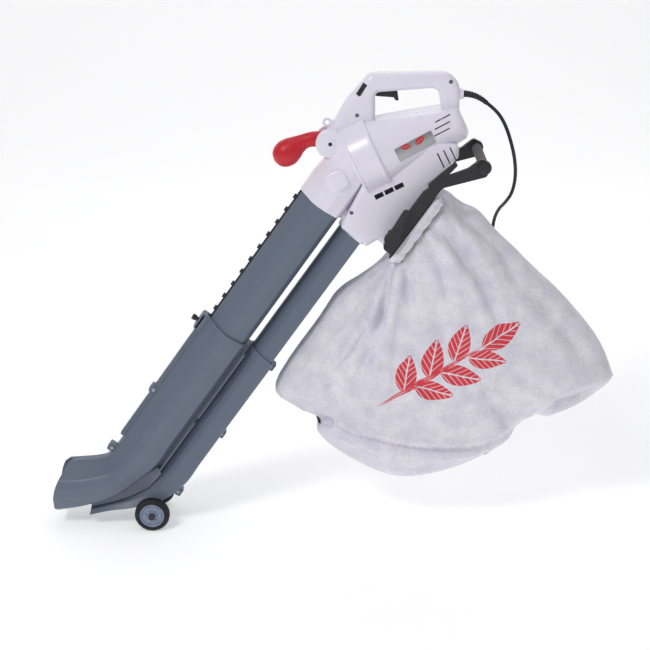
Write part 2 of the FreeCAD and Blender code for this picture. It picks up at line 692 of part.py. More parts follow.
# ---- front handle -----------------------------------------------------------------------
def front_handle():
    """Hub on the pivot, a curved neck and a round knob."""
    wires = []
    for x, z, high, wide, heading in NECK:
        angle = math.radians(heading)
        ahead = V(math.cos(angle), 0, math.sin(angle))
        upright = V(-math.sin(angle), 0, math.cos(angle))
        centre = V(x, 0, z)
        ring = Part.Ellipse(centre + upright * high, centre + ACROSS * wide, centre)
        wires.append(Part.Wire(ring.toShape()))
    neck = Part.makeLoft(wires, True, True)
    centre = V(KNOB_X, 0, KNOB_Z)
    ball = Part.makeSphere(KNOB_RADIUS, centre)
    hub = side_rod(PIVOT_X, PIVOT_Z, HANDLE_HUB_RADIUS, -HUB_HALF, HUB_HALF)
    body = hub.fuse(neck).fuse(ball).removeSplitter()
    return body.cut(side_rod(PIVOT_X, PIVOT_Z, PIVOT_BOLT + RUN_CLEARANCE, -40, 40))


def pivot_bolt():
    head = -PIVOT_HEAD_INNER - 3
    shank = side_rod(PIVOT_X, PIVOT_Z, PIVOT_BOLT, head, PIVOT_HEAD_INNER + 4)
    return shank.fuse(side_rod(PIVOT_X, PIVOT_Z, BOLT_HEAD, head, head + 3)).removeSplitter()


def pivot_nut():
    low, high = PIVOT_HEAD_INNER, PIVOT_HEAD_INNER + 4
    nut = side_rod(PIVOT_X, PIVOT_Z, BOLT_HEAD, low, high)
    return nut.cut(side_rod(PIVOT_X, PIVOT_Z, PIVOT_BOLT, low - 1, high + 1))


# ---- mode lever -------------------------------------------------------------------------
def mode_lever():
    hub_low = duct_point(LEVER_A, LEVER_B, LEVER_NEAR)
    hub = rod(hub_low, hub_low + V(0, LEVER_FAR - LEVER_NEAR, 0), LEVER_RADIUS)
    outline = [(LEVER_A, LEVER_B - 13, 0.0), (LEVER_A + 60, LEVER_B - 17, 5.0),
               (LEVER_A + 68, LEVER_B - 8, 5.0), (LEVER_A, LEVER_B + 12, 0.0)]
    arm = Part.Face(rounded_wire(outline, duct_point, LEVER_NEAR)).extrude(V(0, 8, 0))
    gap = block(duct_point, LEVER_A + 19, LEVER_A + 57, LEVER_B - 10.5, LEVER_B - 5.5, -120, -80)
    socket = rod(hub_low + V(0, 3, 0), hub_low + V(0, 20, 0), LEVER_SHAFT)
    return hub.fuse(arm).removeSplitter().cut([gap, socket])


def lever_shaft():
    low = duct_point(LEVER_A, LEVER_B, LEVER_NEAR + 3)
    return rod(low, duct_point(LEVER_A, LEVER_B, BODY_HALF + 1), LEVER_SHAFT)


def lever_bushes():
    rings = []
    for side in (-1, 1):
        inner = duct_point(LEVER_A, LEVER_B, side * (BODY_HALF - 5))
        outer = duct_point(LEVER_A, LEVER_B, side * (BODY_HALF + 2))
        rings.append(tube(inner, outer, LEVER_RADIUS / 2, LEVER_SHAFT + RUN_CLEARANCE))
    return Part.makeCompound(rings)


def mode_flap():
    half = OUTLET_HALF + 1
    plate = block(duct_point, LEVER_A, LEVER_A + 58, LEVER_B - 1.5, LEVER_B + 1.5, -half, half)
    sleeve = rod(duct_point(LEVER_A, LEVER_B, -half), duct_point(LEVER_A, LEVER_B, half), 7.0)
    bore = rod(duct_point(LEVER_A, LEVER_B, -half - 1), duct_point(LEVER_A, LEVER_B, half + 1),
               LEVER_SHAFT)
    return plate.fuse(sleeve).cut(bore).removeSplitter()


# ---- trim of the casing -----------------------------------------------------------------
def badge_plate():
    """Blank plate that follows the barrel's side."""
    skin = barrel_body(-BADGE_THICKNESS).cut(barrel_body(0.0))
    return skin.common(near_side(pad(BADGE_OUTLINE, 90)))


def casing_screws():
    """Self-tapping screws that hold the casing halves, their heads in the near half."""
    screws = []
    for x, z, head in CASING_SCREWS:
        shank = side_rod(x, z, SCREW_SHANK, head, CASING_SCREW_END)
        screws.append(shank.fuse(side_rod(x, z, SCREW_HEAD, head, head + 2.5)).removeSplitter())
    return Part.makeCompound(screws)


# ---- upper ducts ------------------------------------------------------------------------
def hollow_duct(section, centre, height, width, start, end):
    outer = duct_prism(section, centre, height, width, start, end)
    return outer.cut(duct_prism(section, centre, height - 2 * TUBE_WALL, width - 2 * TUBE_WALL,
                                start - 1, end + 1))


def latch_rack():
    """Toothed strip along the suction duct's upper edge."""
    edge = -MAIN_HEIGHT / 2
    low = UPPER_END + 5
    high = SOCKET_END - 3
    strip = block(duct_point, low, high, edge - RACK_BASE, edge, -RACK_HALF, RACK_HALF)
    teeth = []
    count = int((high - low) / RACK_PITCH)
    for i in range(count):
        start = low + 10 + RACK_PITCH * i
        teeth.append(block(duct_point, start, start + 9, edge - RACK_BASE - RACK_TOOTH, edge - 1,
                           -RACK_HALF, RACK_HALF))
    return fused([strip] + teeth)


# ---- lower twin duct --------------------------------------------------------------------
def lower_stations(centre, height, width, bend):
    half = height / 2 + SLIDE_CLEARANCE + WALL
    half_width = width / 2 + SLIDE_CLEARANCE + WALL
    stations = [(duct_point(a, centre - half), duct_point(a, centre + half), half_width)
                for a in (COLLAR, STRAIGHT_END)]
    for top, bottom, wide in bend:
        stations.append((V(top[0], 0, top[1]), V(bottom[0], 0, bottom[1]), wide))
    return stations


def stretched(stations):
    """The same stations with both open ends moved outwards by a millimetre."""
    first = stations[0]
    last = stations[-1]
    ahead = (last[0] - stations[-2][0]).normalize()
    start = (first[0] + UP_SLOPE, first[1] + UP_SLOPE, first[2])
    end = (last[0] + ahead, last[1] + ahead, last[2])
    return [start] + stations[1:-1] + [end]


def boss_places():
    left = -MAIN_HEIGHT / 2 - SLIDE_CLEARANCE - WALL - 6
    right = BLOW_CENTRE + BLOW_HEIGHT / 2 + SLIDE_CLEARANCE + WALL + 4.5
    return [(a, left, 1) for a in LEFT_BOSSES] + [(a, right, -1) for a in RIGHT_BOSSES]


def lower_duct():
    main_stations = lower_stations(0.0, MAIN_HEIGHT, MAIN_WIDTH, MAIN_BEND)
    blow_stations = lower_stations(BLOW_CENTRE, BLOW_HEIGHT, BLOW_WIDTH, BLOW_BEND)
    edge = -MAIN_HEIGHT / 2 - SLIDE_CLEARANCE - WALL
    body = [bent_duct(MAIN_SECTION, main_stations, 0.0), bent_duct(BLOW_SECTION, blow_stations, 0.0)]
    web_low = MAIN_HEIGHT / 2 - 2
    web_high = BLOW_CENTRE - BLOW_HEIGHT / 2 + 2
    body.append(block(duct_point, STRAIGHT_END - 40, COLLAR, web_low, web_high, -10, 10))
    body.append(block(duct_point, STRAIGHT_END, COLLAR, edge - RIDGE_TOP, edge + 3,
                      -RIDGE_HALF, RIDGE_HALF))
    body.append(block(duct_point, COLLAR - 38, COLLAR, edge - RIDGE_TOP - 6, edge + 3, -13, 13))
    for a, b, inwards in boss_places():
        body.append(rod(duct_point(a, b, -BOSS_HALF), duct_point(a, b, BOSS_HALF),
                        DUCT_BOSS_RADIUS))
        body.append(block(duct_point, a - 5, a + 5, min(b, b + 12 * inwards),
                          max(b, b + 12 * inwards), -BOSS_HALF, BOSS_HALF))
    body.append(side_rod(AXLE_X, AXLE_Z, 9.0, -45, 45))
    body.append(Part.makeBox(30, 90, 26, V(AXLE_X - 14, -45, AXLE_Z)))
    whole = fused(body)
    groove = block(duct_point, STRAIGHT_END + 5, COLLAR + 1,
                   -MAIN_HEIGHT / 2 - RACK_BASE - RACK_TOOTH - 1.2, 0, -RACK_HALF - 1.2,
                   RACK_HALF + 1.2)
    pawl = rod(duct_point(LATCH_A, edge - 30), duct_point(LATCH_A, edge + 3), LATCH_RADIUS + 0.1)
    bores = [rod(duct_point(a, b, -20), duct_point(a, b, 20), SCREW_SHANK)
             for a, b, _ in boss_places()]
    bores.append(side_rod(AXLE_X, AXLE_Z, AXLE_RADIUS, -60, 60))
    return whole.cut([bent_duct(MAIN_SECTION, stretched(main_stations), WALL),
                      bent_duct(BLOW_SECTION, stretched(blow_stations), WALL), groove, pawl] + bores)


def duct_screws():
    screws = []
    for a, b, _ in boss_places():
        shank = rod(duct_point(a, b, -BOSS_HALF), duct_point(a, b, BOSS_HALF - 1), SCREW_SHANK)
        head = rod(duct_point(a, b, -BOSS_HALF - 2.4), duct_point(a, b, -BOSS_HALF), SCREW_HEAD)
        screws.append(shank.fuse(head).removeSplitter())
    return Part.makeCompound(screws)


def latch_knob():
    """Sprung pawl of the telescopic ducts, its knob above the collar."""
    edge = -MAIN_HEIGHT / 2
    tip = edge - RACK_BASE - RACK_TOOTH - 0.6
    shank = rod(duct_point(LATCH_A, tip), duct_point(LATCH_A, tip - 17), LATCH_RADIUS)
    head = rod(duct_point(LATCH_A, tip - 16), duct_point(LATCH_A, tip - 24), 6.0)
    return shank.fuse(head).removeSplitter()


# ---- wheels -----------------------------------------------------------------------------
def axle():
    reach = WHEEL_MIDDLE + TYRE_WIDTH / 2 + 2
    return side_rod(AXLE_X, AXLE_Z, AXLE_RADIUS, -reach, reach)


def axle_caps():
    caps = []
    start = WHEEL_MIDDLE + TYRE_WIDTH / 2 + 0.3
    for side in (-1, 1):
        low, high = sorted((side * start, side * (start + 3)))
        caps.append(side_rod(AXLE_X, AXLE_Z, 7.0, low, high).cut(axle()))
    return Part.makeCompound(caps)


def tyre(side):
    low = side * WHEEL_MIDDLE - TYRE_WIDTH / 2
    ring = side_rod(AXLE_X, AXLE_Z, WHEEL_RADIUS, low, low + TYRE_WIDTH)
    ring = ring.makeFillet(4.0, [edge for edge in ring.Edges if edge.isClosed()])
    return ring.cut(side_rod(AXLE_X, AXLE_Z, HUB_RADIUS, low - 1, low + TYRE_WIDTH + 1))


def hub(side):
    low = side * WHEEL_MIDDLE - TYRE_WIDTH / 2
    disc = side_rod(AXLE_X, AXLE_Z, HUB_RADIUS, low + 1, low + TYRE_WIDTH - 1)
    outer = low if side < 0 else low + TYRE_WIDTH - 4
    dish = side_rod(AXLE_X, AXLE_Z, HUB_RADIUS - 3, outer, outer + 4)
    dish = dish.cut(side_rod(AXLE_X, AXLE_Z, 8.0, outer - 1, outer + 5))
    return disc.cut([dish, side_rod(AXLE_X, AXLE_Z, AXLE_RADIUS + RUN_CLEARANCE, -90, 90)])


# ---- bag and its frame --------------------------------------------------------------------
def bag_frame():
    """Ring round the outlet with two arms that carry the grip."""
    corners = [(point.x, point.z, radius) for point, radius in zip(ARM_OUTLINE, ARM_ROUNDING)]
    parts = []
    for side in (-1, 1):
        low = -ARM_OUTER if side < 0 else ARM_INNER
        width = V(0, ARM_OUTER - ARM_INNER, 0)
        for outline in (corners, HOOK_OUTLINE):
            parts.append(Part.Face(rounded_wire(outline, side_point, low)).extrude(width))
    parts.append(block(duct_point, FLANGE_LOW, FLANGE_HIGH, RING_START, RING_END, -ARM_INNER - 2,
                       ARM_INNER + 2))
    whole = fused(parts)
    gap = LEVER_SHAFT + NOTCH_GAP
    notch = block(duct_point, LEVER_A - gap, LEVER_A + gap, ARM_LOW - 10, LEVER_B + gap,
                  -ARM_OUTER - 2, 0)
    bolt = side_rod(GRIP_X, GRIP_Z, GRIP_BOLT, -BEYOND, BEYOND)
    return whole.cut([outlet_hole(-5, RING_DEPTH + 5), notch, bolt])


def grip_sleeve():
    sleeve = side_rod(GRIP_X, GRIP_Z, GRIP_RADIUS, -ARM_INNER, ARM_INNER)
    return sleeve.cut(side_rod(GRIP_X, GRIP_Z, GRIP_BOLT, -BEYOND, BEYOND))


def grip_bolt():
    reach = ARM_OUTER + 1
    heads = [side_rod(GRIP_X, GRIP_Z, BOLT_HEAD, ARM_OUTER, ARM_OUTER + 3),
             side_rod(GRIP_X, GRIP_Z, BOLT_HEAD, -ARM_OUTER - 3, -ARM_OUTER)]
    return side_rod(GRIP_X, GRIP_Z, GRIP_BOLT, -reach, reach).fuse(heads).removeSplitter()


def bag_body(wall):
    """Pillow lofted through side outlines that shrink towards both flanks."""
    wires = []
    for side, share, mouth_share in BAG_LEVELS:
        level = math.copysign(max(abs(side) - wall, 0.0), side) if side else 0.0
        points = []
        for x, z in BAG_OUTLINE:
            offset = (V(x, 0, z) - BAG_CENTRE) * (share - wall / BAG_REACH)
            points.append(BAG_CENTRE + offset + ACROSS * level)
        mouth = []
        for point in BAG_MOUTH:
            edge = BAG_CENTRE + (point - BAG_CENTRE) * (mouth_share - wall / BAG_REACH)
            mouth.append(edge + ACROSS * level)
        loop = mouth + points
        wires.append(Part.makePolygon(loop + loop[:1]))
    return Part.makeLoft(wires, True, True)


def catch_bag():
    mouth = outlet_hole(RING_DEPTH - 10, RING_DEPTH + 30)
    return bag_body(0.0).cut([bag_body(BAG_WALL), mouth])


# ---- cord -------------------------------------------------------------------------------
def cord_gland():
    end = CORD_EXIT + V(GLAND_STAND, 0, 0)
    return rod(CORD_EXIT - V(GLAND_DEPTH, 0, 0), end, GLAND_RADIUS)


def cord_boot():
    """Tapered boot whose ends lie flat on the gland and on the cord's start."""
    rings = [(CORD_EXIT + V(GLAND_STAND, 0, 0), V(1, 0, 0), BOOT_RADIUS),
             (CORD_ROUTE[0], CORD_ROUTE[1] - CORD_ROUTE[0], CORD_DIAMETER / 2 + BOOT_END)]
    wires = [Part.Wire(Part.Circle(centre, heading, radius).toShape())
             for centre, heading, radius in rings]
    return Part.makeLoft(wires, True, True)


def cord_path():
    """Straight runs joined by tangent arcs, and the radius of each arc."""
    edges = []
    radii = []
    last = CORD_ROUTE[0]
    for i in range(1, len(CORD_ROUTE) - 1):
        before, here, after = CORD_ROUTE[i - 1:i + 2]
        back = before - here
        ahead = after - here
        turn = math.pi - back.getAngle(ahead)
        run = 0.45 * min(back.Length, ahead.Length)
        radius = run / math.tan(turn / 2)
        back = back.normalize()
        ahead = ahead.normalize()
        start = here + back * run
        end = here + ahead * run
        middle = here + (back + ahead).normalize() * (radius / math.cos(turn / 2) - radius)
        edges.append(Part.LineSegment(last, start).toShape())
        edges.append(Part.Arc(start, middle, end).toShape())
        radii.append(radius)
        last = end
    edges.append(Part.LineSegment(last, CORD_ROUTE[-1]).toShape())
    return Part.Wire(edges), radii


def cord():
    path, radii = cord_path()
    heading = CORD_ROUTE[1] - CORD_ROUTE[0]
    circle = Part.Circle(CORD_ROUTE[0], heading, CORD_DIAMETER / 2)
    solid = path.makePipeShell([Part.Wire(circle.toShape())], True, False)
    expected = math.pi * (CORD_DIAMETER / 2) ** 2 * path.Length
    print("cord length %.1f mm, volume ratio %.4f" % (path.Length, solid.Volume / expected))
    print("cord radii mm:", ", ".join("%.0f" % radius for radius in radii))
    return solid


def plug_body():
    """Plug that hangs straight below the cord's end."""
    top = CORD_ROUTE[-1]
    neck = Part.makeCone(CORD_DIAMETER / 2 + 1.5, 9.0, PLUG_NECK, top, V(0, 0, -1))
    head = Part.makeBox(36, 24, PLUG_LENGTH - 18, top + V(-18, -12, -PLUG_LENGTH))
    head = head.makeFillet(7.0, [edge for edge in head.Edges
                                 if abs(edge.Vertexes[0].Z - edge.Vertexes[-1].Z) > 1])
    return neck.fuse(head).removeSplitter()


def plug_pins():
    pins = []
    foot = CORD_ROUTE[-1] - V(0, 0, PLUG_LENGTH)
    for side in (-0.5, 0.5):
        start = foot + V(side * PIN_SPACING, 0, 0)
        pins.append(rod(start, start - V(0, 0, PIN_LENGTH), PIN_RADIUS))
    return Part.makeCompound(pins)


def write(solid, node):
    solid.exportStep("parts/" + node + ".step")


def largest(shape):
    """A shell half without the slivers that a cut can leave."""
    return max(shape.Solids, key=lambda solid: solid.Volume)


def write_halves(shell, node):
    write(largest(near_side(shell)), node + "_near")
    write(largest(far_side(shell)), node + "_far")


def main():
    os.makedirs("parts", exist_ok=True)
    write_halves(upper_shell(), "handle_casing")
    write_halves(collector_shell(upper_outer()), "collector_casing")
    write_halves(lower_duct(), "lower_duct")
    write(hollow_duct(MAIN_SECTION, 0.0, MAIN_HEIGHT, MAIN_WIDTH, UPPER_END, TUBE_TOP),
          "upper_suction_duct")
    write(hollow_duct(BLOW_SECTION, BLOW_CENTRE, BLOW_HEIGHT, BLOW_WIDTH, UPPER_END, TUBE_TOP - 5),
          "upper_blow_duct")
    pieces = {
        "latch_rack": latch_rack(), "badge_plate": badge_plate(),
        "motor_shaft": motor_shaft(), "fan_impeller": fan(), "fan_nut": fan_nut(),
        "motor_armature": armature(), "motor_commutator": commutator(),
        "motor_stator": stator(), "front_bearing": bearing(DRUM_LENGTH - 1),
        "rear_bearing": bearing(REAR_RIB - 1), "brush_holder": brush_holder(),
        "carbon_brushes": brushes(), "trigger": trigger(), "trigger_pin": trigger_pin(0.0),
        "trigger_spring": trigger_spring(), "switch_module": switch_module(),
        "selector_tray": selector_tray(), "selector_slider": selector_slider(),
        "front_handle": front_handle(), "pivot_bolt": pivot_bolt(), "pivot_nut": pivot_nut(),
        "mode_lever": mode_lever(), "lever_shaft": lever_shaft(), "lever_bushes": lever_bushes(),
        "mode_flap": mode_flap(), "casing_screws": casing_screws(),
        "duct_screws": duct_screws(), "latch_knob": latch_knob(), "wheel_axle": axle(),
        "axle_caps": axle_caps(), "tyre_near": tyre(-1), "tyre_far": tyre(1),
        "wheel_hub_near": hub(-1), "wheel_hub_far": hub(1), "bag_frame": bag_frame(),
        "grip_sleeve": grip_sleeve(), "grip_bolt": grip_bolt(), "catch_bag": catch_bag(),
        "cord_gland": cord_gland(), "cord_boot": cord_boot(), "power_cord": cord(),
        "plug_body": plug_body(), "plug_pins": plug_pins(),
    }
    for node, solid in pieces.items():
        write(solid, node)


main()
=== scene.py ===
"""Looks for a two-duct leaf blower with a catch bag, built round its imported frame."""

import json
import math

import bmesh
import bpy
import numpy as np
from bpy.props import FloatProperty, FloatVectorProperty, PointerProperty
from bpy.types import Operator, Panel, PropertyGroup
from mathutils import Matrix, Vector


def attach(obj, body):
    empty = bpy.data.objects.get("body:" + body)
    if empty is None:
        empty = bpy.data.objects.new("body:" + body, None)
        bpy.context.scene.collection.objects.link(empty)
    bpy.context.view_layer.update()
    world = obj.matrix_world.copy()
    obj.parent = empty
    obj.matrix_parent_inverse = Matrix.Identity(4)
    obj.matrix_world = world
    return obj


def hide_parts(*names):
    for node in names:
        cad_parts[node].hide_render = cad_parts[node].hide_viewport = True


bl_info = {
    "name": "Leaf blower looks",
    "version": (1, 0, 0),
    "blender": (4, 5, 0),
    "location": "View3D > Sidebar > Leaf blower",
    "description": "Builds the visible pieces of a two-duct leaf blower with a catch bag",
    "category": "Object",
}

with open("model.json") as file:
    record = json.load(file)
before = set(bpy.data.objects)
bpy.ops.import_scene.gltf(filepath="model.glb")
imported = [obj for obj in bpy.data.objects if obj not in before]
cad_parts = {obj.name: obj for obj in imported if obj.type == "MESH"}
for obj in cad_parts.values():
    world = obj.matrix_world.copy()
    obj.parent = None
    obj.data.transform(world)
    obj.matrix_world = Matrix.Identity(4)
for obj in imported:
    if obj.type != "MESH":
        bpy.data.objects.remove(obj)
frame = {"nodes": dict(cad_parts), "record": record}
NODES = frame["nodes"]
MM = 0.001

# Directions of the duct pair and of the motor, both in the plane Y = 0.
DUCT_ANGLE = math.radians(55)
DUCT_UP = np.array([math.cos(DUCT_ANGLE), 0, math.sin(DUCT_ANGLE)])
DUCT_OFF = np.array([math.sin(DUCT_ANGLE), 0, -math.cos(DUCT_ANGLE)])
MOTOR_ANGLE = math.radians(26)
MOTOR_ALONG = np.array([math.cos(MOTOR_ANGLE), 0, math.sin(MOTOR_ANGLE)])
MOTOR_DOWN = np.array([math.sin(MOTOR_ANGLE), 0, -math.cos(MOTOR_ANGLE)])
SIDE = np.array([0.0, 1.0, 0.0])
DRUM_FACE = np.array([-99.0, 0.0, -156.0])

# The lead's route from the boot's end to the plug's neck, in metres.
LEAD_ROUTE = (
    (0.151, 0, -0.042),
    (0.171, 0, -0.057),
    (0.188, 0, -0.084),
    (0.200, 0, -0.117),
    (0.209, 0, -0.152),
    (0.212, 0.002, -0.188),
    (0.208, 0.014, -0.222),
    (0.199, 0.040, -0.248),
    (0.190, 0.073, -0.270),
    (0.184, 0.098, -0.298),
    (0.182, 0.108, -0.332),
    (0.183, 0.110, -0.366),
)
LEAD_DIAMETER = 0.0068

FLOOR_HEIGHT = -0.917

# Middles of the front handle's pivot, the wheels' axle and the rear grip's bolt, in millimetres.
HANDLE_PIVOT = (-147, 0, -116)
AXLE = (-511, 0, -882)
GRIP_BOLT = (142, 0, -147)


# ---------------------------------------------------------------- colours and nodes


def linear(hex_colour):
    """sRGB hex to linear RGBA: each channel c becomes ((c + 0.055) / 1.055) ^ 2.4, or
    c / 12.92 near black."""
    channels = [int(hex_colour[i : i + 2], 16) / 255 for i in (0, 2, 4)]
    return tuple(
        c / 12.92 if c <= 0.04045 else ((c + 0.055) / 1.055) ** 2.4 for c in channels
    ) + (1.0,)


def add_node(tree, kind, inputs=None, **settings):
    """Adds one node with its settings, and links or sets its inputs by name or number."""
    made = tree.nodes.new(kind)
    for name, value in settings.items():
        setattr(made, name, value)
    for name, value in (inputs or {}).items():
        if isinstance(value, bpy.types.NodeSocket):
            tree.links.new(value, made.inputs[name])
        else:
            made.inputs[name].default_value = value
    return made


def new_material(name, **shader):
    """A material with one Principled shader, and the tree and shader to add a pattern to."""
    material = bpy.data.materials.new(name)
    material.use_nodes = True
    tree = material.node_tree
    surface = tree.nodes["Principled BSDF"]
    for socket, value in shader.items():
        surface.inputs[socket.replace("_", " ")].default_value = value
    return material, tree, surface


def chosen(name):
    """The colour that is set under a name in the panel."""
    return tuple(getattr(bpy.context.scene.blower_colours, name))


def moulded(name, light, dark, roughness, grain, depth, cloud=18.0, **shader):
    """A moulded or pressed finish: faint flow clouds between two near shades, a roughness that
    follows them, and the fine grain that the mould's spark-eroded wall leaves."""
    material, tree, surface = new_material(name, **shader)
    place = add_node(tree, "ShaderNodeTexCoord").outputs["Object"]
    flow = add_node(tree, "ShaderNodeTexNoise", {"Vector": place, "Scale": cloud, "Detail": 3.0})
    shade = add_node(
        tree, "ShaderNodeMix", {0: flow.outputs["Fac"], 6: light, 7: dark}, data_type="RGBA"
    )
    tree.links.new(shade.outputs[2], surface.inputs["Base Color"])
    wear = add_node(
        tree,
        "ShaderNodeMapRange",
        {
            "Value": flow.outputs["Fac"],
            "From Min": 0.3,
            "From Max": 0.7,
            "To Min": roughness * 0.88,
            "To Max": roughness * 1.12,
        },
    )
    tree.links.new(wear.outputs["Result"], surface.inputs["Roughness"])
    pits = add_node(
        tree, "ShaderNodeTexNoise", {"Vector": place, "Scale": 1 / grain, "Detail": 2.0}
    )
    bump = add_node(
        tree,
        "ShaderNodeBump",
        {"Height": pits.outputs["Fac"], "Strength": depth, "Distance": grain * 0.25},
    )
    tree.links.new(bump.outputs["Normal"], surface.inputs["Normal"])
    return material


def metal(name, colour, roughness, stretch, grain):
    """Bare metal: brushed or turned lines, which are noise stretched along one axis."""
    material, tree, surface = new_material(name, Metallic=1.0)
    place = add_node(tree, "ShaderNodeTexCoord").outputs["Object"]
    turned = add_node(
        tree, "ShaderNodeMapping", {"Vector": place, "Scale": stretch}
    ).outputs["Vector"]
    lines = add_node(
        tree, "ShaderNodeTexNoise", {"Vector": turned, "Scale": 1 / grain, "Detail": 3.0}
    )
    wear = add_node(
        tree,
        "ShaderNodeMapRange",
        {"Value": lines.outputs["Fac"], "To Min": roughness * 0.7, "To Max": roughness * 1.4},
    )
    tree.links.new(wear.outputs["Result"], surface.inputs["Roughness"])
    shade = add_node(
        tree,
        "ShaderNodeMix",
        {
            0: lines.outputs["Fac"],
            6: linear(colour),
            7: tuple(c * 0.8 for c in linear(colour)[:3]) + (1.0,),
        },
        data_type="RGBA",
    )
    tree.links.new(shade.outputs[2], surface.inputs["Base Color"])
    bump = add_node(
        tree,
        "ShaderNodeBump",
        {"Height": lines.outputs["Fac"], "Strength": 0.15, "Distance": 0.05 * MM},
    )
    tree.links.new(bump.outputs["Normal"], surface.inputs["Normal"])
    return material


def foam_rubber():
    """Closed-cell foam rubber of the rear grip: brown-grey, matt, with open pores."""
    material, tree, surface = new_material(
        "foam_rubber", IOR=1.45, Roughness=0.9, Sheen_Weight=0.15, Sheen_Roughness=0.5
    )
    place = add_node(tree, "ShaderNodeTexCoord").outputs["Object"]
    # The pores are about 1 mm wide, and drawn at 2 mm so that they show.
    pores = add_node(tree, "ShaderNodeTexVoronoi", {"Vector": place, "Scale": 500.0})
    # The colour is darkest at each pore's middle: painted shade in the pore's hollow.
    shade = add_node(
        tree,
        "ShaderNodeMix",
        {0: pores.outputs["Distance"], 6: linear("2E2A29"), 7: linear("5E5754")},
        data_type="RGBA",
    )
    tree.links.new(shade.outputs[2], surface.inputs["Base Color"])
    bump = add_node(
        tree,
        "ShaderNodeBump",
        {"Height": pores.outputs["Distance"], "Strength": 0.5, "Distance": 0.5 * MM},
    )
    tree.links.new(bump.outputs["Normal"], surface.inputs["Normal"])
    return material


def leaf_print(tree, place, leaves):
    """A print of plain leaves: one where u ^ 2 + |w| (1 + 0.4 u) is below 1, with u along a leaf
    in half lengths and w across it in half widths. The middle vein, |w| below 0.07, and the side
    veins, where 3 (u - 0.6 |w|) is just above a whole number, are left bare. A leaf is (x, z,
    rise in degrees, length, width) in millimetres. Returns 1 on ink and 0 elsewhere."""
    ink = None
    for x, z, rise, length, width in leaves:
        local = add_node(
            tree,
            "ShaderNodeMapping",
            {
                "Vector": place,
                "Location": (x * MM, 0, z * MM),
                "Rotation": (0, -math.radians(rise), 0),
                "Scale": (length / 2 * MM, 1, width / 2 * MM),
            },
            vector_type="TEXTURE",
        )
        axes = add_node(tree, "ShaderNodeSeparateXYZ", {0: local.outputs[0]})
        square = add_node(tree, "ShaderNodeMath", {0: axes.outputs["X"], 1: 2.0}, operation="POWER")
        across = add_node(tree, "ShaderNodeMath", {0: axes.outputs["Z"]}, operation="ABSOLUTE")
        taper = add_node(
            tree, "ShaderNodeMath", {0: axes.outputs["X"], 1: 0.4, 2: 1.0}, operation="MULTIPLY_ADD"
        )
        reach = add_node(
            tree,
            "ShaderNodeMath",
            {0: across.outputs[0], 1: taper.outputs[0], 2: square.outputs[0]},
            operation="MULTIPLY_ADD",
        )
        slant = add_node(
            tree,
            "ShaderNodeMath",
            {0: across.outputs[0], 1: -0.6, 2: axes.outputs["X"]},
            operation="MULTIPLY_ADD",
        )
        veins = add_node(
            tree, "ShaderNodeMath", {0: slant.outputs[0], 1: 3.0}, operation="MULTIPLY"
        )
        veins = add_node(tree, "ShaderNodeMath", {0: veins.outputs[0]}, operation="FRACT")
        veins = add_node(
            tree, "ShaderNodeMath", {0: veins.outputs[0], 1: 0.13}, operation="GREATER_THAN"
        )
        inside = add_node(
            tree, "ShaderNodeMath", {0: reach.outputs[0], 1: 1.0}, operation="LESS_THAN"
        )
        beside = add_node(
            tree, "ShaderNodeMath", {0: across.outputs[0], 1: 0.07}, operation="GREATER_THAN"
        )
        leaf = add_node(
            tree,
            "ShaderNodeMath",
            {0: inside.outputs[0], 1: beside.outputs[0]},
            operation="MULTIPLY",
        )
        leaf = add_node(
            tree, "ShaderNodeMath", {0: leaf.outputs[0], 1: veins.outputs[0]}, operation="MULTIPLY"
        ).outputs[0]
        if ink is not None:
            leaf = add_node(
                tree, "ShaderNodeMath", {0: ink, 1: leaf}, operation="MAXIMUM"
            ).outputs[0]
        ink = leaf
    side = add_node(tree, "ShaderNodeSeparateXYZ", {0: place}).outputs["Y"]
    near = add_node(tree, "ShaderNodeMath", {0: side, 1: 0.0}, operation="LESS_THAN")
    return add_node(
        tree, "ShaderNodeMath", {0: ink, 1: near.outputs[0]}, operation="MULTIPLY"
    ).outputs[0]


BAG_LEAVES = (
    (52, -562, 33, 262, 9),
    (186, -479, 33, 92, 44),
    (3, -558, 82, 84, 40),
    (54, -525, 80, 86, 42),
    (106, -492, 74, 84, 40),
    (58, -594, -14, 84, 40),
    (110, -562, -12, 86, 42),
    (160, -528, -8, 80, 38),
)
BADGE_LEAVES = ((-4, -112, 4, 24, 11), (22, -100, 44, 26, 12))


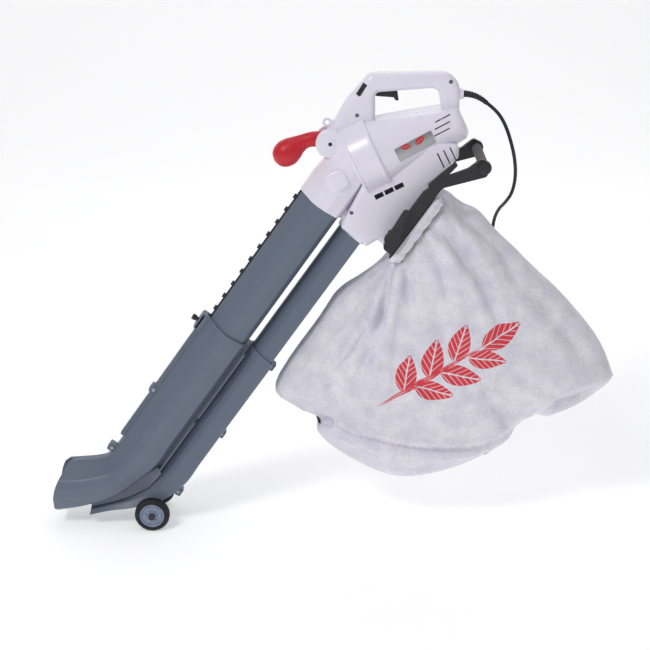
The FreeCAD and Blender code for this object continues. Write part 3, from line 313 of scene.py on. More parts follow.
def nonwoven_polyester():
    """Spun-bonded polyester: matt, cloudy where the fibres lie thicker, crumpled, with the
    dots where the rollers welded the fibres and a screen print of red leaves."""
    material, tree, surface = new_material(
        "nonwoven_polyester_printed",
        IOR=1.5,
        Roughness=0.86,
        Sheen_Weight=0.10,
        Sheen_Roughness=0.45,
    )
    place = add_node(tree, "ShaderNodeTexCoord").outputs["Object"]
    clouds = add_node(
        tree,
        "ShaderNodeTexNoise",
        {"Vector": place, "Scale": 1 / 0.045, "Detail": 6.0, "Roughness": 0.62},
    )
    spread = add_node(
        tree,
        "ShaderNodeMapRange",
        {"Value": clouds.outputs["Fac"], "From Min": 0.32, "From Max": 0.68},
    )
    cloth = add_node(
        tree,
        "ShaderNodeMix",
        {0: spread.outputs["Result"], 6: chosen("cloth"), 7: chosen("cloth_cloud")},
        data_type="RGBA",
    )
    fibres = add_node(
        tree,
        "ShaderNodeTexNoise",
        {"Vector": place, "Scale": 1 / 0.0035, "Detail": 4.0, "Distortion": 1.2},
    )
    specks = add_node(
        tree,
        "ShaderNodeMapRange",
        {
            "Value": fibres.outputs["Fac"],
            "From Min": 0.35,
            "From Max": 0.65,
            "To Min": 0.90,
            "To Max": 1.05,
        },
    )
    fibred = add_node(
        tree,
        "ShaderNodeMix",
        {0: 1.0, 6: cloth.outputs[2], 7: specks.outputs["Result"]},
        data_type="RGBA",
        blend_type="MULTIPLY",
    )
    # Ink soaks along the fibres, so the print's edge is moved by a millimetre of noise.
    soak = add_node(
        tree,
        "ShaderNodeVectorMath",
        {0: fibres.outputs["Color"], 1: (0.5, 0.5, 0.5)},
        operation="SUBTRACT",
    )
    soaked = add_node(
        tree, "ShaderNodeVectorMath", {0: soak.outputs[0], "Scale": 1.5 * MM}, operation="SCALE"
    )
    moved = add_node(
        tree, "ShaderNodeVectorMath", {0: place, 1: soaked.outputs[0]}, operation="ADD"
    )
    ink = leaf_print(tree, moved.outputs[0], BAG_LEAVES)
    cover = add_node(tree, "ShaderNodeMath", {0: ink, 1: 0.94}, operation="MULTIPLY")
    printed = add_node(
        tree,
        "ShaderNodeMix",
        {0: cover.outputs[0], 6: fibred.outputs[2], 7: chosen("ink")},
        data_type="RGBA",
    )
    tree.links.new(printed.outputs[2], surface.inputs["Base Color"])
    crumple = add_node(
        tree,
        "ShaderNodeTexNoise",
        {"Vector": place, "Scale": 1 / 0.038, "Detail": 3.0, "Distortion": 1.8},
    )
    # Weld dots are a millimetre apart, and drawn at 3 mm so that they show.
    dots = add_node(tree, "ShaderNodeTexVoronoi", {"Vector": place, "Scale": 1 / 0.003})
    coarse = add_node(
        tree,
        "ShaderNodeBump",
        {"Height": crumple.outputs["Fac"], "Strength": 0.35, "Distance": 7 * MM},
    )
    fine = add_node(
        tree,
        "ShaderNodeBump",
        {
            "Height": dots.outputs["Distance"],
            "Normal": coarse.outputs["Normal"],
            "Strength": 0.25,
            "Distance": 0.4 * MM,
        },
    )
    tree.links.new(fine.outputs["Normal"], surface.inputs["Normal"])
    return material


def brushed_foil():
    """Aluminium foil badge: brushed along its length, with a small print of two leaves."""
    material = metal("aluminium_foil_brushed", "B9B9BC", 0.36, (0.05, 1.0, 1.0), 0.5 * MM)
    tree = material.node_tree
    surface = tree.nodes["Principled BSDF"]
    place = add_node(tree, "ShaderNodeTexCoord").outputs["Object"]
    ink = leaf_print(tree, place, BADGE_LEAVES)
    bare = surface.inputs["Base Color"].links[0].from_socket
    printed = add_node(
        tree, "ShaderNodeMix", {0: ink, 6: bare, 7: linear("C81E2D")}, data_type="RGBA"
    )
    tree.links.new(printed.outputs[2], surface.inputs["Base Color"])
    shine = add_node(tree, "ShaderNodeMath", {0: 1.0, 1: ink}, operation="SUBTRACT")
    tree.links.new(shine.outputs[0], surface.inputs["Metallic"])
    return material


def plain_studio():
    """Pale painted studio floor and backdrop, matt."""
    material, _, surface = new_material(
        "matt_studio_paint",
        Base_Color=linear("F4F4F4"),
        Roughness=0.95,
        Emission_Color=linear("FFFFFF"),
        Emission_Strength=0.36,
    )
    surface.inputs["Specular IOR Level"].default_value = 0.1
    return material


MATERIALS = {}


def finishes():
    """Makes every material once and keeps it under the record's slot name."""
    if MATERIALS:
        return MATERIALS
    MATERIALS.update(
        # ABS, injection moulded: half-gloss, and slightly violet in its shade.
        white_casing=moulded(
            "white_abs_moulded",
            chosen("casing"),
            chosen("casing_cloud"),
            0.30,
            1.1 * MM,
            0.05,
            IOR=1.54,
            Coat_Weight=0.12,
            Coat_Roughness=0.12,
        ),
        # Polypropylene, injection moulded: waxy satin with a soft highlight.
        grey_duct=moulded(
            "blue_grey_polypropylene_moulded",
            chosen("duct"),
            chosen("duct_cloud"),
            0.42,
            1.4 * MM,
            0.10,
            IOR=1.49,
        ),
        # The hubs' polypropylene is paler than the ducts', and a touch glossier.
        grey_hub=moulded(
            "hub_polypropylene_moulded",
            chosen("hub"),
            chosen("hub_cloud"),
            0.38,
            1.0 * MM,
            0.08,
            IOR=1.49,
        ),
        # Nylon, moulded: dark satin with a fine matt grain.
        black_plastic=moulded(
            "black_nylon_moulded",
            linear("232226"),
            linear("1B1A1D"),
            0.46,
            0.9 * MM,
            0.18,
            IOR=1.53,
        ),
        # Polypropylene moulded with a leathery grain for the hand.
        red_handle=moulded(
            "red_polypropylene_moulded",
            chosen("handle"),
            chosen("handle_cloud"),
            0.40,
            1.6 * MM,
            0.30,
            IOR=1.49,
        ),
        # Glass-filled nylon: matt, with pale fibre flecks.
        fan_plastic=moulded(
            "glass_filled_nylon_moulded",
            linear("3A3A40"),
            linear("2B2B30"),
            0.60,
            0.8 * MM,
            0.25,
            160.0,
            IOR=1.53,
        ),
        # Rubber: matt, with the bloom and pits of a moulded tyre or an extruded sheath.
        tyre=moulded(
            "tyre_rubber", linear("1C1C1D"), linear("111112"), 0.7, 1.2 * MM, 0.35, 60.0, IOR=1.52
        ),
        black_rubber=moulded(
            "sheath_rubber",
            linear("19191B"),
            linear("101012"),
            0.48,
            1.0 * MM,
            0.15,
            60.0,
            IOR=1.52,
        ),
        # Carbon pressed from powder: matt and sooty.
        carbon=moulded(
            "pressed_carbon", linear("2B2B2C"), linear("1E1E1F"), 0.7, 0.6 * MM, 0.3, 60.0, IOR=1.52
        ),
        silver_badge=brushed_foil(),
        steel=metal("zinc_plated_steel", "A9ABAF", 0.32, (1.0, 1.0, 1.0), 1.0 * MM),
        copper=metal("copper_turned", "C4845A", 0.3, (1.0, 0.2, 1.0), 0.8 * MM),
        grip_rubber=foam_rubber(),
        bag_fabric=nonwoven_polyester(),
    )
    return MATERIALS


def dress_nodes():
    """Gives every CAD node the material of its slot."""
    made = finishes()
    for part in frame["record"]["subparts"]:
        node = NODES[part["node"]]
        node.data.materials.clear()
        node.data.materials.append(made[part["material_slot"]])


# ---------------------------------------------------------------- shapes


def around(count):
    """Equal angles once round a circle."""
    return np.linspace(0, 2 * math.pi, count, endpoint=False)


def catmull(table, count):
    """Rows on a smooth curve through the rows of a table: between two rows it is the cubic
    whose slope at each of them is half the step between that row's neighbours."""
    rows = np.asarray(table, float)
    ends = np.concatenate([[2 * rows[0] - rows[1]], rows, [2 * rows[-1] - rows[-2]]])
    place = np.linspace(0, len(rows) - 1, count)
    low = np.minimum(place.astype(int), len(rows) - 2)
    f = (place - low)[:, None]
    a, b, c, d = ends[low], ends[low + 1], ends[low + 2], ends[low + 3]
    return 0.5 * (
        2 * b + (c - a) * f + (2 * a - 5 * b + 4 * c - d) * f**2 + (3 * b - a - 3 * c + d) * f**3
    )


def rounded_loop(corners, radius, steps=6):
    """A closed polygon with every corner replaced by a quadratic curve: it leaves each side
    at the radius from the corner, or at half the side where that is shorter."""
    corners = np.asarray(corners, float)
    before, after = np.roll(corners, 1, 0) - corners, np.roll(corners, -1, 0) - corners
    shares = [
        np.minimum(0.49, radius / np.linalg.norm(side, axis=1))[:, None] for side in (before, after)
    ]
    start, end = corners + before * shares[0], corners + after * shares[1]
    t = np.linspace(0, 1, steps)[None, :, None]
    start, corners, end = start[:, None], corners[:, None], end[:, None]
    curve = (1 - t) ** 2 * start + 2 * t * (1 - t) * corners + t**2 * end
    return curve.reshape(-1, 2)


def skin(grid, wrap_rows=False, close_ends=False):
    """The surface over a grid of points whose columns run round. Its rows may run round too,
    as on a ring, or each end row may be gathered to its middle, which closes the end."""
    if close_ends:
        ends = [np.broadcast_to(grid[i].mean(0), grid[i].shape) for i in (0, -1)]
        grid = np.concatenate([[ends[0]], grid, [ends[1]]])
    rows, columns = grid.shape[:2]
    row, column = np.meshgrid(
        np.arange(rows if wrap_rows else rows - 1), np.arange(columns), indexing="ij"
    )
    below, beside = (row + 1) % rows, (column + 1) % columns
    faces = np.stack(
        [
            row * columns + column,
            row * columns + beside,
            below * columns + beside,
            below * columns + column,
        ],
        -1,
    )
    return grid.reshape(-1, 3), faces.reshape(-1, 4)


def turned(profile, origin, axis, columns=64, ring=False):
    """A profile of rows (distance, radius) turned about an axis: each point is the origin plus
    the axis times the distance, plus the radius times a direction square to the axis."""
    profile, axis = np.asarray(profile, float), np.asarray(axis, float)
    first = np.cross(axis, [0.3, 0.2, 0.93])
    first /= np.linalg.norm(first)
    second = np.cross(axis, first)
    angle = around(columns)[:, None]
    spokes = first * np.cos(angle) + second * np.sin(angle)
    grid = (
        np.asarray(origin, float)
        + profile[:, None, :1] * axis
        + profile[:, None, 1:] * spokes[None]
    )
    return skin(grid, wrap_rows=ring, close_ends=not ring)


def capsule(start, end, radius, columns=20):
    """A round rod with half-ball ends."""
    start, end = np.asarray(start, float), np.asarray(end, float)
    length = np.linalg.norm(end - start)
    angle = np.linspace(0, math.pi / 2, 6)
    low = np.column_stack([-radius * np.cos(angle), radius * np.sin(angle)])
    high = np.column_stack([length + radius * np.sin(angle), radius * np.cos(angle)])
    return turned(np.concatenate([low, high]), start, (end - start) / length, columns)


def slab(loop, half, edge, place):
    """A flat body between two sides at plus and minus half, whose outline is a loop of rows
    (p, q). At both rims the outline draws in by a quarter circle of the edge's radius."""
    loop = np.asarray(loop, float)
    along = np.roll(loop, -1, 0) - np.roll(loop, 1, 0)
    x, y = loop[:, 0], loop[:, 1]
    turn = np.sign(np.sum(x * np.roll(y, -1) - y * np.roll(x, -1)))
    out = turn * np.column_stack([along[:, 1], -along[:, 0]])
    out /= np.maximum(np.linalg.norm(out, axis=1), 1e-9)[:, None]
    t = np.linspace(0, math.pi / 2, 5)
    inset = np.concatenate([edge * (1 - np.sin(t)), edge * (1 - np.sin(t[::-1]))])
    side = half - edge * (1 - np.cos(t))
    side = np.concatenate([-side, side[::-1]])
    flat = loop[None] - out[None] * inset[:, None, None]
    grid = place(flat[..., 0], flat[..., 1], np.broadcast_to(side[:, None], flat.shape[:2]))
    return skin(grid, close_ends=True)


def along_ducts(a, b, side=0.0):
    """Points at a distance along the slope, a distance below the main duct's middle line and
    a distance to the side."""
    a, b, side = (np.asarray(v, float)[..., None] for v in (a, b, side))
    return a * DUCT_UP + b * DUCT_OFF + side * SIDE


def upright(x, z, side=0.0):
    """Points given by x, z and the distance to the side."""
    return np.stack(np.broadcast_arrays(x, side, z), -1).astype(float)


def box_slab(p, q, half, edge, place, radius=2.0):
    """A slab with a rectangular outline from p[0], q[0] to p[1], q[1]."""
    corners = [(p[0], q[0]), (p[1], q[0]), (p[1], q[1]), (p[0], q[1])]
    return slab(rounded_loop(corners, radius, 5), half, edge, place)


def lever(stations, power, count=60, columns=48):
    """A body along a smooth path in the plane Y = 0, from rows (x, z, half height, half
    width). Each ring is a superellipse: |height| ^ power + |width| ^ power = 1."""
    rows = catmull(stations, count)
    path = upright(rows[:, 0], rows[:, 1])
    ahead = np.gradient(path, axis=0)
    ahead /= np.linalg.norm(ahead, axis=1)[:, None]
    up = np.cross(ahead, SIDE)
    angle = around(columns)
    c, s = np.cos(angle), np.sin(angle)
    c, s = (np.sign(v) * np.abs(v) ** (2 / power) for v in (c, s))
    grid = (
        path[:, None]
        + up[:, None] * np.maximum(rows[:, 2], 0)[:, None, None] * c[None, :, None]
        + SIDE * np.maximum(rows[:, 3], 0)[:, None, None] * s[None, :, None]
    )
    return skin(grid, close_ends=True)


def blob(centre, directions, halves, power=2.6, rows=24, columns=40):
    """A soft pad: a superellipsoid with three directions and half sizes. With u from pole to
    pole and v round, its axes carry sin u, cos u cos v and cos u sin v, each to 2 / power."""
    u = np.linspace(-math.pi / 2, math.pi / 2, rows)[:, None]
    v = around(columns)[None]
    parts = (np.sin(u) + 0 * v, np.cos(u) * np.cos(v), np.cos(u) * np.sin(v))
    grid = np.zeros((rows, columns, 3)) + np.asarray(centre, float)
    for part, direction, half in zip(parts, directions, halves):
        shaped = np.sign(part) * np.abs(part) ** (2 / power) * half
        grid = grid + shaped[..., None] * np.asarray(direction, float)
    return skin(grid)


def duct_shell(section, stations, wall, rings, radius=3.0, mouth=0.0, ridged=2.0):
    """An open duct. The section is rows (share of the height, share of the half width), with
    rounded corners; a station is (top x, top z, bottom x, bottom z, half width), and rings
    follow smooth curves through the stations. The inner wall is the same with every station
    drawn in by the wall's thickness, and the two meet at both open ends. The last rings may
    bulge: at a share f of the height they move ahead by mouth times 1 - (2 f - 1) ^ 2.
    What stands above the top, where f is below zero, runs only along the ridged share."""
    rows = catmull(stations, rings)
    height = np.linalg.norm(rows[0, :2] - rows[0, 2:4])
    sized = [(share * height, half * rows[0, 4]) for share, half in section]
    corners = sized + [(share, -half) for share, half in reversed(sized)]
    loop = rounded_loop(corners, radius) / [height, rows[0, 4]]

    keep = np.clip((ridged - np.linspace(0, 1, rings)) * 25, 0, 1)

    def walls(inset):
        top, bottom = upright(rows[:, 0], rows[:, 1]), upright(rows[:, 2], rows[:, 3])
        down = bottom - top
        down /= np.linalg.norm(down, axis=1)[:, None]
        top, bottom = top + down * inset, bottom - down * inset
        ahead = np.cross(down, SIDE)
        ahead *= np.sign((ahead[-1] * (top[-1] - top[-2])).sum())
        late = np.clip((np.arange(rings) - rings + 12) / 11, 0, 1) ** 2
        bulge = mouth * late[:, None] * (1 - (2 * loop[None, :, 0] - 1) ** 2)
        share = loop[None, :, 0]
        share = np.where(share < 0, share * keep[:, None], share)
        return ahead[:, None] * bulge[..., None] + (
            top[:, None]
            + (bottom - top)[:, None] * share[..., None]
            + SIDE * (rows[:, 4] - inset)[:, None, None] * loop[None, :, 1:]
        )

    return skin(np.concatenate([walls(0.0), walls(wall)[::-1]]), wrap_rows=True)


def straight_stations(places, middle, half, half_width):
    """Stations of a straight duct at places along the slope."""
    rows = []
    for a in places:
        top, bottom = along_ducts(a, middle - half), along_ducts(a, middle + half)
        rows.append((top[0], top[2], bottom[0], bottom[2], half_width))
    return rows


def piece(name, parts, body, slot, replaces=(), sharp=40.0):
    """One object from surfaces (points in millimetres, faces). Its doubled points are merged,
    its faces turned outwards and its edges above an angle kept sharp; it rides on a body."""
    starts = np.cumsum([0] + [len(points) for points, _ in parts])
    points = np.concatenate([points for points, _ in parts]) * MM
    faces = np.concatenate([faces + start for (_, faces), start in zip(parts, starts)])
    mesh = bpy.data.meshes.new(name)
    mesh.from_pydata(points.tolist(), [], faces.tolist())
    clean(mesh, sharp)
    made = bpy.data.objects.new(name, mesh)
    bpy.context.scene.collection.objects.link(made)
    flats = made.modifiers.new("Weighted normals", "WEIGHTED_NORMAL")
    flats.keep_sharp = True
    dress(made, body, slot, replaces)
    return made


def clean(mesh, sharp):
    """Merges doubled points, turns faces outwards, shades smooth and marks sharp edges."""
    work = bmesh.new()
    work.from_mesh(mesh)
    bmesh.ops.remove_doubles(work, verts=work.verts, dist=2e-6)
    bmesh.ops.dissolve_degenerate(work, edges=work.edges, dist=1e-7)
    bmesh.ops.recalc_face_normals(work, faces=work.faces)
    work.to_mesh(mesh)
    work.free()
    mesh.polygons.foreach_set("use_smooth", np.full(len(mesh.polygons), True))
    mesh.set_sharp_from_angle(angle=math.radians(sharp))
    mesh.update()


def dress(made, body, slot, replaces=()):
    """Gives a piece the material of its slot and its body, and hides the nodes that it stands for.
    """
    made.data.materials.clear()
    made.data.materials.append(finishes()[slot])
    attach(made, body)
    if replaces:
        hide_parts(*replaces)


# ---------------------------------------------------------------- sizes and colours


class BlowerSizes(PropertyGroup):
    """Sizes that a user would change."""

    lead_diameter: FloatProperty(
        name="Lead diameter",
        description="Outside diameter of the mains lead",
        default=LEAD_DIAMETER,
        min=0.004,
        max=0.012,
        subtype="DISTANCE",
        unit="LENGTH",
    )
    floor_width: FloatProperty(
        name="Floor width",
        description="Width of the studio floor",
        default=9.0,
        subtype="DISTANCE",
        unit="LENGTH",
    )


def tint(name, description, hex_colour):
    """A colour that a user can set, in linear light, whose default is an sRGB hex value."""
    return FloatVectorProperty(
        name=name,
        description=description,
        subtype="COLOR",
        size=4,
        min=0.0,
        max=1.0,
        default=linear(hex_colour),
    )


class BlowerColours(PropertyGroup):
    """Colours that a user would change. All but the ink mix with a second shade in clouds."""

    casing: tint("Casing", "White plastic of the casing", "EFECF7")
    casing_cloud: tint("Casing clouds", "Second shade of the casing", "E6E3F0")
    duct: tint("Ducts", "Grey plastic of the ducts", "6B7585")
    duct_cloud: tint("Duct clouds", "Second shade of the ducts", "626C7D")
    hub: tint("Hubs", "Grey plastic of the wheel hubs", "8A96AE")
    hub_cloud: tint("Hub clouds", "Second shade of the wheel hubs", "808DA2")
    handle: tint("Front handle", "Red plastic of the front handle", "D2202F")
    handle_cloud: tint("Front handle clouds", "Second shade of the front handle", "BD1428")
    cloth: tint("Bag cloth", "Thin places of the bag's cloth", "EEECF3")
    cloth_cloud: tint("Bag cloth clouds", "Thick places of the bag's cloth", "D8D6E2")
    ink: tint("Bag print", "Ink of the leaves on the bag", "DA0D24")


# ---------------------------------------------------------------- operators


class BLOWER_OT_stage(Operator):
    """Makes the studio floor with its backdrop, the lights and the camera"""

    bl_idname = "blower.stage"
    bl_label = "Stage"

    def execute(self, context):
        sizes = context.scene.blower_sizes
        # The floor's section runs forward to back, then turns up in a quarter circle.
        turn, back, front = 1.5, 2.6, -4.5
        angle = np.linspace(0, math.pi / 2, 25)
        section = np.concatenate(
            [
                [[front, FLOOR_HEIGHT]],
                np.stack(
                    [back + turn * np.sin(angle), FLOOR_HEIGHT + turn - turn * np.cos(angle)], 1
                ),
                [[back + turn, 4.0]],
            ]
        )
        half = sizes.floor_width / 2
        points = np.concatenate(
            [np.column_stack([np.full(len(section), x), section]) for x in (-half, half)]
        )
        n = len(section)
        low = np.arange(n - 1)
        faces = np.stack([low, low + n, low + n + 1, low + 1], 1)
        mesh = bpy.data.meshes.new("studio_floor")
        mesh.from_pydata(points.tolist(), [], faces.tolist())
        mesh.polygons.foreach_set("use_smooth", np.full(len(mesh.polygons), True))
        mesh.materials.append(plain_studio())
        floor = bpy.data.objects.new("studio_floor", mesh)
        context.scene.collection.objects.link(floor)

        for name, place, size, power in (
            ("key_light", (-1.9, -2.2, 2.3), 1.0, 50),
            ("fill_light", (2.4, -2.2, 0.6), 2.2, 4),
            ("top_light", (0.2, 0.3, 2.6), 2.0, 13),
            ("back_light", (0.6, 2.4, 1.6), 2.0, 8),
        ):
            data = bpy.data.lights.new(name, "AREA")
            data.energy, data.size = power, size
            light = bpy.data.objects.new(name, data)
            context.scene.collection.objects.link(light)
            light.location = place
            aim = Vector((-0.1, 0, -0.5)) - Vector(place)
            light.rotation_euler = aim.to_track_quat("-Z", "Y").to_euler()

        world = bpy.data.worlds.new("studio_air")
        world.use_nodes = True
        world.node_tree.nodes["Background"].inputs["Color"].default_value = linear("FBFBFF")
        world.node_tree.nodes["Background"].inputs["Strength"].default_value = 0.36
        context.scene.world = world
        context.scene.view_settings.view_transform = "Standard"

        data = bpy.data.cameras.new("camera")
        data.lens, data.sensor_width = 85.8, 36.0
        camera = bpy.data.objects.new("camera", data)
        context.scene.collection.objects.link(camera)
        target, distance = Vector((-0.1570, 0, -0.4912)), 3.1
        elevation = math.radians(20)
        back = Vector((0, -math.cos(elevation), math.sin(elevation)))
        camera.location = target + back * distance
        camera.rotation_euler = (-back).to_track_quat("-Z", "Y").to_euler()
        context.scene.camera = camera
        return {"FINISHED"}


# ---------------------------------------------------------------- ducts

MAIN_SECTION = ((0.0, 0.20), (0.28, 0.88), (0.42, 1.0), (0.62, 1.0), (0.87, 0.84), (1.0, 0.38))
RIDGED_SECTION = ((-0.083, 0.10), (0.0, 0.125)) + MAIN_SECTION
BLOW_SECTION = ((0.0, 0.16), (0.22, 0.58), (0.42, 0.78), (0.93, 1.0), (1.0, 0.92))
MAIN_BEND = (
    (-601, -771, -541, -826, 55.0),
    (-625, -780, -588, -859, 56.5),
    (-655, -783, -652, -881, 57.0),
    (-683, -785, -710, -892, 57.0),
)
BLOW_BEND = (
    (-528, -831, -487, -857, 46.0),
    (-565, -856, -550, -876, 46.0),
    (-598, -866, -600, -883, 46.0),
    (-640, -878, -642, -892, 46.0),
)
# The web that fills the gap between the two ducts where they bend, as (x, z).
BEND_WEB = (
    (-500, -790),
    (-541, -820),
    (-590, -853),
    (-640, -870),
    (-640, -880),
    (-598, -871),
    (-560, -858),
    (-520, -838),
    (-492, -806),
)
BLOW_MIDDLE = 80.5
# Half heights and half widths of the two straight ducts, and how much more the lower ducts have.
SUCTION_HALVES = (43.0, 48.5)
BLOW_HALVES = (23.5, 46.0)
SLEEVE = 4.2
UPPER_END = -730
COLLAR, STRAIGHT_END = -607.0, -925.0
DUCT_EDGE = -47.2
LATCH_LENGTH = 38
# Screw bosses: places along the slope and below the middle line, and the way inwards.
SCREW_BOSSES = (
    (-803, -53.2, 1), (-960, -53.2, 1), (-625, 112.7, -1), (-806, 112.7, -1), (-966, 112.7, -1)
)


def bead(a, middle, halves, section, stand):
    """A raised lip round a straight duct, 5.2 mm long, whose profile is a half ellipse."""
    reach = 2.6
    places = a + np.array([-reach, -2.2, -1.2, 0, 1.2, 2.2, reach])
    swell = stand * np.sqrt(np.maximum(0, 1 - (places - a) ** 2 / reach**2))
    rows = [
        straight_stations([p], middle, halves[0] + more, halves[1] + more)[0]
        for p, more in zip(places, swell)
    ]
    return duct_shell(section, rows, 0.4, 21)


class BLOWER_OT_upper_ducts(Operator):
    """Makes the two straight ducts that leave the casing, with the clamped end of each"""

    bl_idname = "blower.upper_ducts"
    bl_label = "Upper ducts"

    def execute(self, context):
        main = straight_stations(np.linspace(-235, UPPER_END, 9), 0.0, *SUCTION_HALVES)
        blow = straight_stations(np.linspace(-240, UPPER_END, 9), BLOW_MIDDLE, *BLOW_HALVES)
        piece(
            "suction_duct_upper",
            [duct_shell(MAIN_SECTION, main, 2.5, 24)],
            "root",
            "grey_duct",
            ("upper_suction_duct",),
        )
        piece(
            "blow_duct_upper",
            [duct_shell(BLOW_SECTION, blow, 2.5, 24)],
            "root",
            "grey_duct",
            ("upper_blow_duct",),
        )
        return {"FINISHED"}


class BLOWER_OT_lower_ducts(Operator):
    """Makes the lower twin duct with its bent nozzle, web, ridge, latch block and bosses"""

    bl_idname = "blower.lower_ducts"
    bl_label = "Lower ducts"

    def execute(self, context):
        places = np.linspace(COLLAR, STRAIGHT_END, 7)
        suction = [half + SLEEVE for half in SUCTION_HALVES]
        blowing = [half + SLEEVE for half in BLOW_HALVES]
        main = straight_stations(places, 0.0, *suction) + list(MAIN_BEND)
        blow = straight_stations(places, BLOW_MIDDLE, *blowing) + list(BLOW_BEND)
        ridge, block = (7.5, 1.4), (13, 3.0)
        parts = [
            duct_shell(RIDGED_SECTION, main, 3.0, 90, mouth=15.0, ridged=0.6),
            duct_shell(BLOW_SECTION, blow, 3.0, 90),
            bead(COLLAR - 3, 0.0, suction, RIDGED_SECTION, 1.1),
            bead(COLLAR - 3, BLOW_MIDDLE, blowing, BLOW_SECTION, 1.1),
            box_slab((-965, COLLAR), (45.2, 54.8), 10, 1.5, along_ducts),
            box_slab((STRAIGHT_END, COLLAR), (DUCT_EDGE - 9, DUCT_EDGE - 5.6), *ridge, along_ducts),
            box_slab(
                (COLLAR - LATCH_LENGTH, COLLAR),
                (DUCT_EDGE - 15, DUCT_EDGE - 5.6),
                *block,
                along_ducts,
                4,
            ),
            slab(rounded_loop(BEND_WEB, 3, 4), 30, 1.5, upright),
            box_slab((-525, -495), (-882, -856), 45, 2.0, upright, 4),
            turned(((-45, 7.5), (-44, 9), (44, 9), (45, 7.5)), AXLE, SIDE, 40),
        ]
        for side in (-1, 1):
            # The ridge and the latch block are open below, for the toothed rack.
            for start, low, inner, outer in (
                (STRAIGHT_END, DUCT_EDGE - 8, 5.1, 7.5),
                (COLLAR - LATCH_LENGTH, DUCT_EDGE - 13, 5.1, 13.0),
            ):
                middle, half = side * (inner + outer) / 2, (outer - inner) / 2
                parts.append(
                    box_slab(
                        (start, COLLAR),
                        (low, DUCT_EDGE + 1.5),
                        half,
                        0.8,
                        lambda a, b, y, middle=middle: along_ducts(a, b, y + middle),
                    )
                )
        for a, b, inwards in SCREW_BOSSES:
            ring = ((-9, 4.8), (-8.2, 6.2), (-7.4, 6.5), (7.4, 6.5), (8.2, 6.2), (9, 4.8))
            parts.append(turned(ring, along_ducts(a, b), SIDE, 32))
            reach = sorted((b - 8.5 * inwards, b + 7 * inwards))
            parts.append(box_slab((a - 9, a + 9), reach, 8.6, 1.2, along_ducts, 3.5))
        for start, end in ((-625, -790), (-805, -940)):
            for side in (-1, 1):
                ends = [along_ducts(a, 50, side * 40) for a in (start, end)]
                parts.append(capsule(*ends, 1.7))
        piece(
            "lower_twin_duct",
            parts,
            "lower_ducts",
            "grey_duct",
            ("lower_duct_near", "lower_duct_far"),
        )
        return {"FINISHED"}


# ---------------------------------------------------------------- wheels


class BLOWER_OT_wheels(Operator):
    """Makes both tyres with their raised treads and both moulded hubs"""

    bl_idname = "blower.wheels"
    bl_label = "Wheels"

    def execute(self, context):
        hub_radius, radius, half = 25.5, 35.0, 10.5
        shoulder = [(half, hub_radius), (half, 30.5), (6.5, radius)]
        shoulder = [(-w, r) for w, r in shoulder] + shoulder[::-1]
        shoulder = rounded_loop(shoulder, 2.5, 6)
        for name, body, side in (("near", "near_wheel", -1), ("far", "far_wheel", 1)):
            middle = np.add(AXLE, (0, side * 60, 0))
            axis = SIDE * side
            treads = []
            for w in (-3.4, 3.4):
                low, high = radius - 0.4, radius + 0.6
                rib = [(w - 1, low), (w + 1, low), (w + 1, high), (w - 1, high)]
                treads.append(turned(rounded_loop(rib, 0.5, 3), middle, axis, 96, True))
            side_bead = turned(
                rounded_loop([(9.4, 27.5), (9.4, 29.5), (11.2, 29.0), (11.2, 28.0)], 0.7, 4),
                middle,
                axis,
                96,
                True,
            )
            piece(
                "tyre_" + name + "_moulded",
                [turned(shoulder, middle, axis, 96, True), side_bead] + treads,
                body,
                "tyre",
                ("tyre_" + name,),
            )
            disc = [
                (-9.5, 4.05),
                (-9.5, 24.6),
                (-8.6, hub_radius),
                (8.4, hub_radius),
                (9.6, 25.0),
                (9.8, 23.6),
                (8.6, 22.4),
                (6.2, 21.6),
                (5.6, 20.8),
                (5.6, 10.4),
                (6.4, 9.6),
                (9.4, 9.0),
                (10.0, 8.0),
                (10.0, 4.05),
            ]
            parts = [turned(rounded_loop(disc, 0.5, 3), middle, axis, 96, True)]
            for turn in around(6):
                out = np.array([math.cos(turn), 0, math.sin(turn)])
                across = np.cross(out, axis)
                parts.append(
                    blob(
                        middle + axis * 5.6 + out * 15.6,
                        (axis, out, across),
                        (1.7, 4.6, 4.4),
                        3.4,
                        14,
                        28,
                    )
                )
            piece("hub_" + name + "_moulded", parts, body, "grey_hub", ("wheel_hub_" + name,))
        return {"FINISHED"}


# ---------------------------------------------------------------- front handle

HANDLE_STATIONS = (
    (-147, -114, 15, 12),
    (-164, -112, 15.5, 12.5),
    (-181, -112, 14.5, 13),
    (-196, -116, 14.5, 14),
    (-208, -122.5, 18, 17.5),
    (-218, -129.5, 23, 22.5),
    (-230, -138.5, 26, 25.5),
    (-242, -147, 22.5, 22),
    (-250, -152.5, 14.5, 14.5),
    (-254.5, -155.5, 0, 0),
)


class BLOWER_OT_front_handle(Operator):
    """Makes the tilting front handle with its round knob and its pivot hub"""

    bl_idname = "blower.front_handle"
    bl_label = "Front handle"

    def execute(self, context):
        hub = [(-15, 15.5), (-14.4, 19.0), (-12.5, 21.0), (12.5, 21.0), (14.4, 19.0), (15, 15.5)]
        piece(
            "front_handle_moulded",
            [lever(HANDLE_STATIONS, 2.2, 90, 56), turned(hub, HANDLE_PIVOT, SIDE, 64)],
            "front_handle",
            "red_handle",
            ("front_handle",),
        )
        return {"FINISHED"}


# ---------------------------------------------------------------- lead


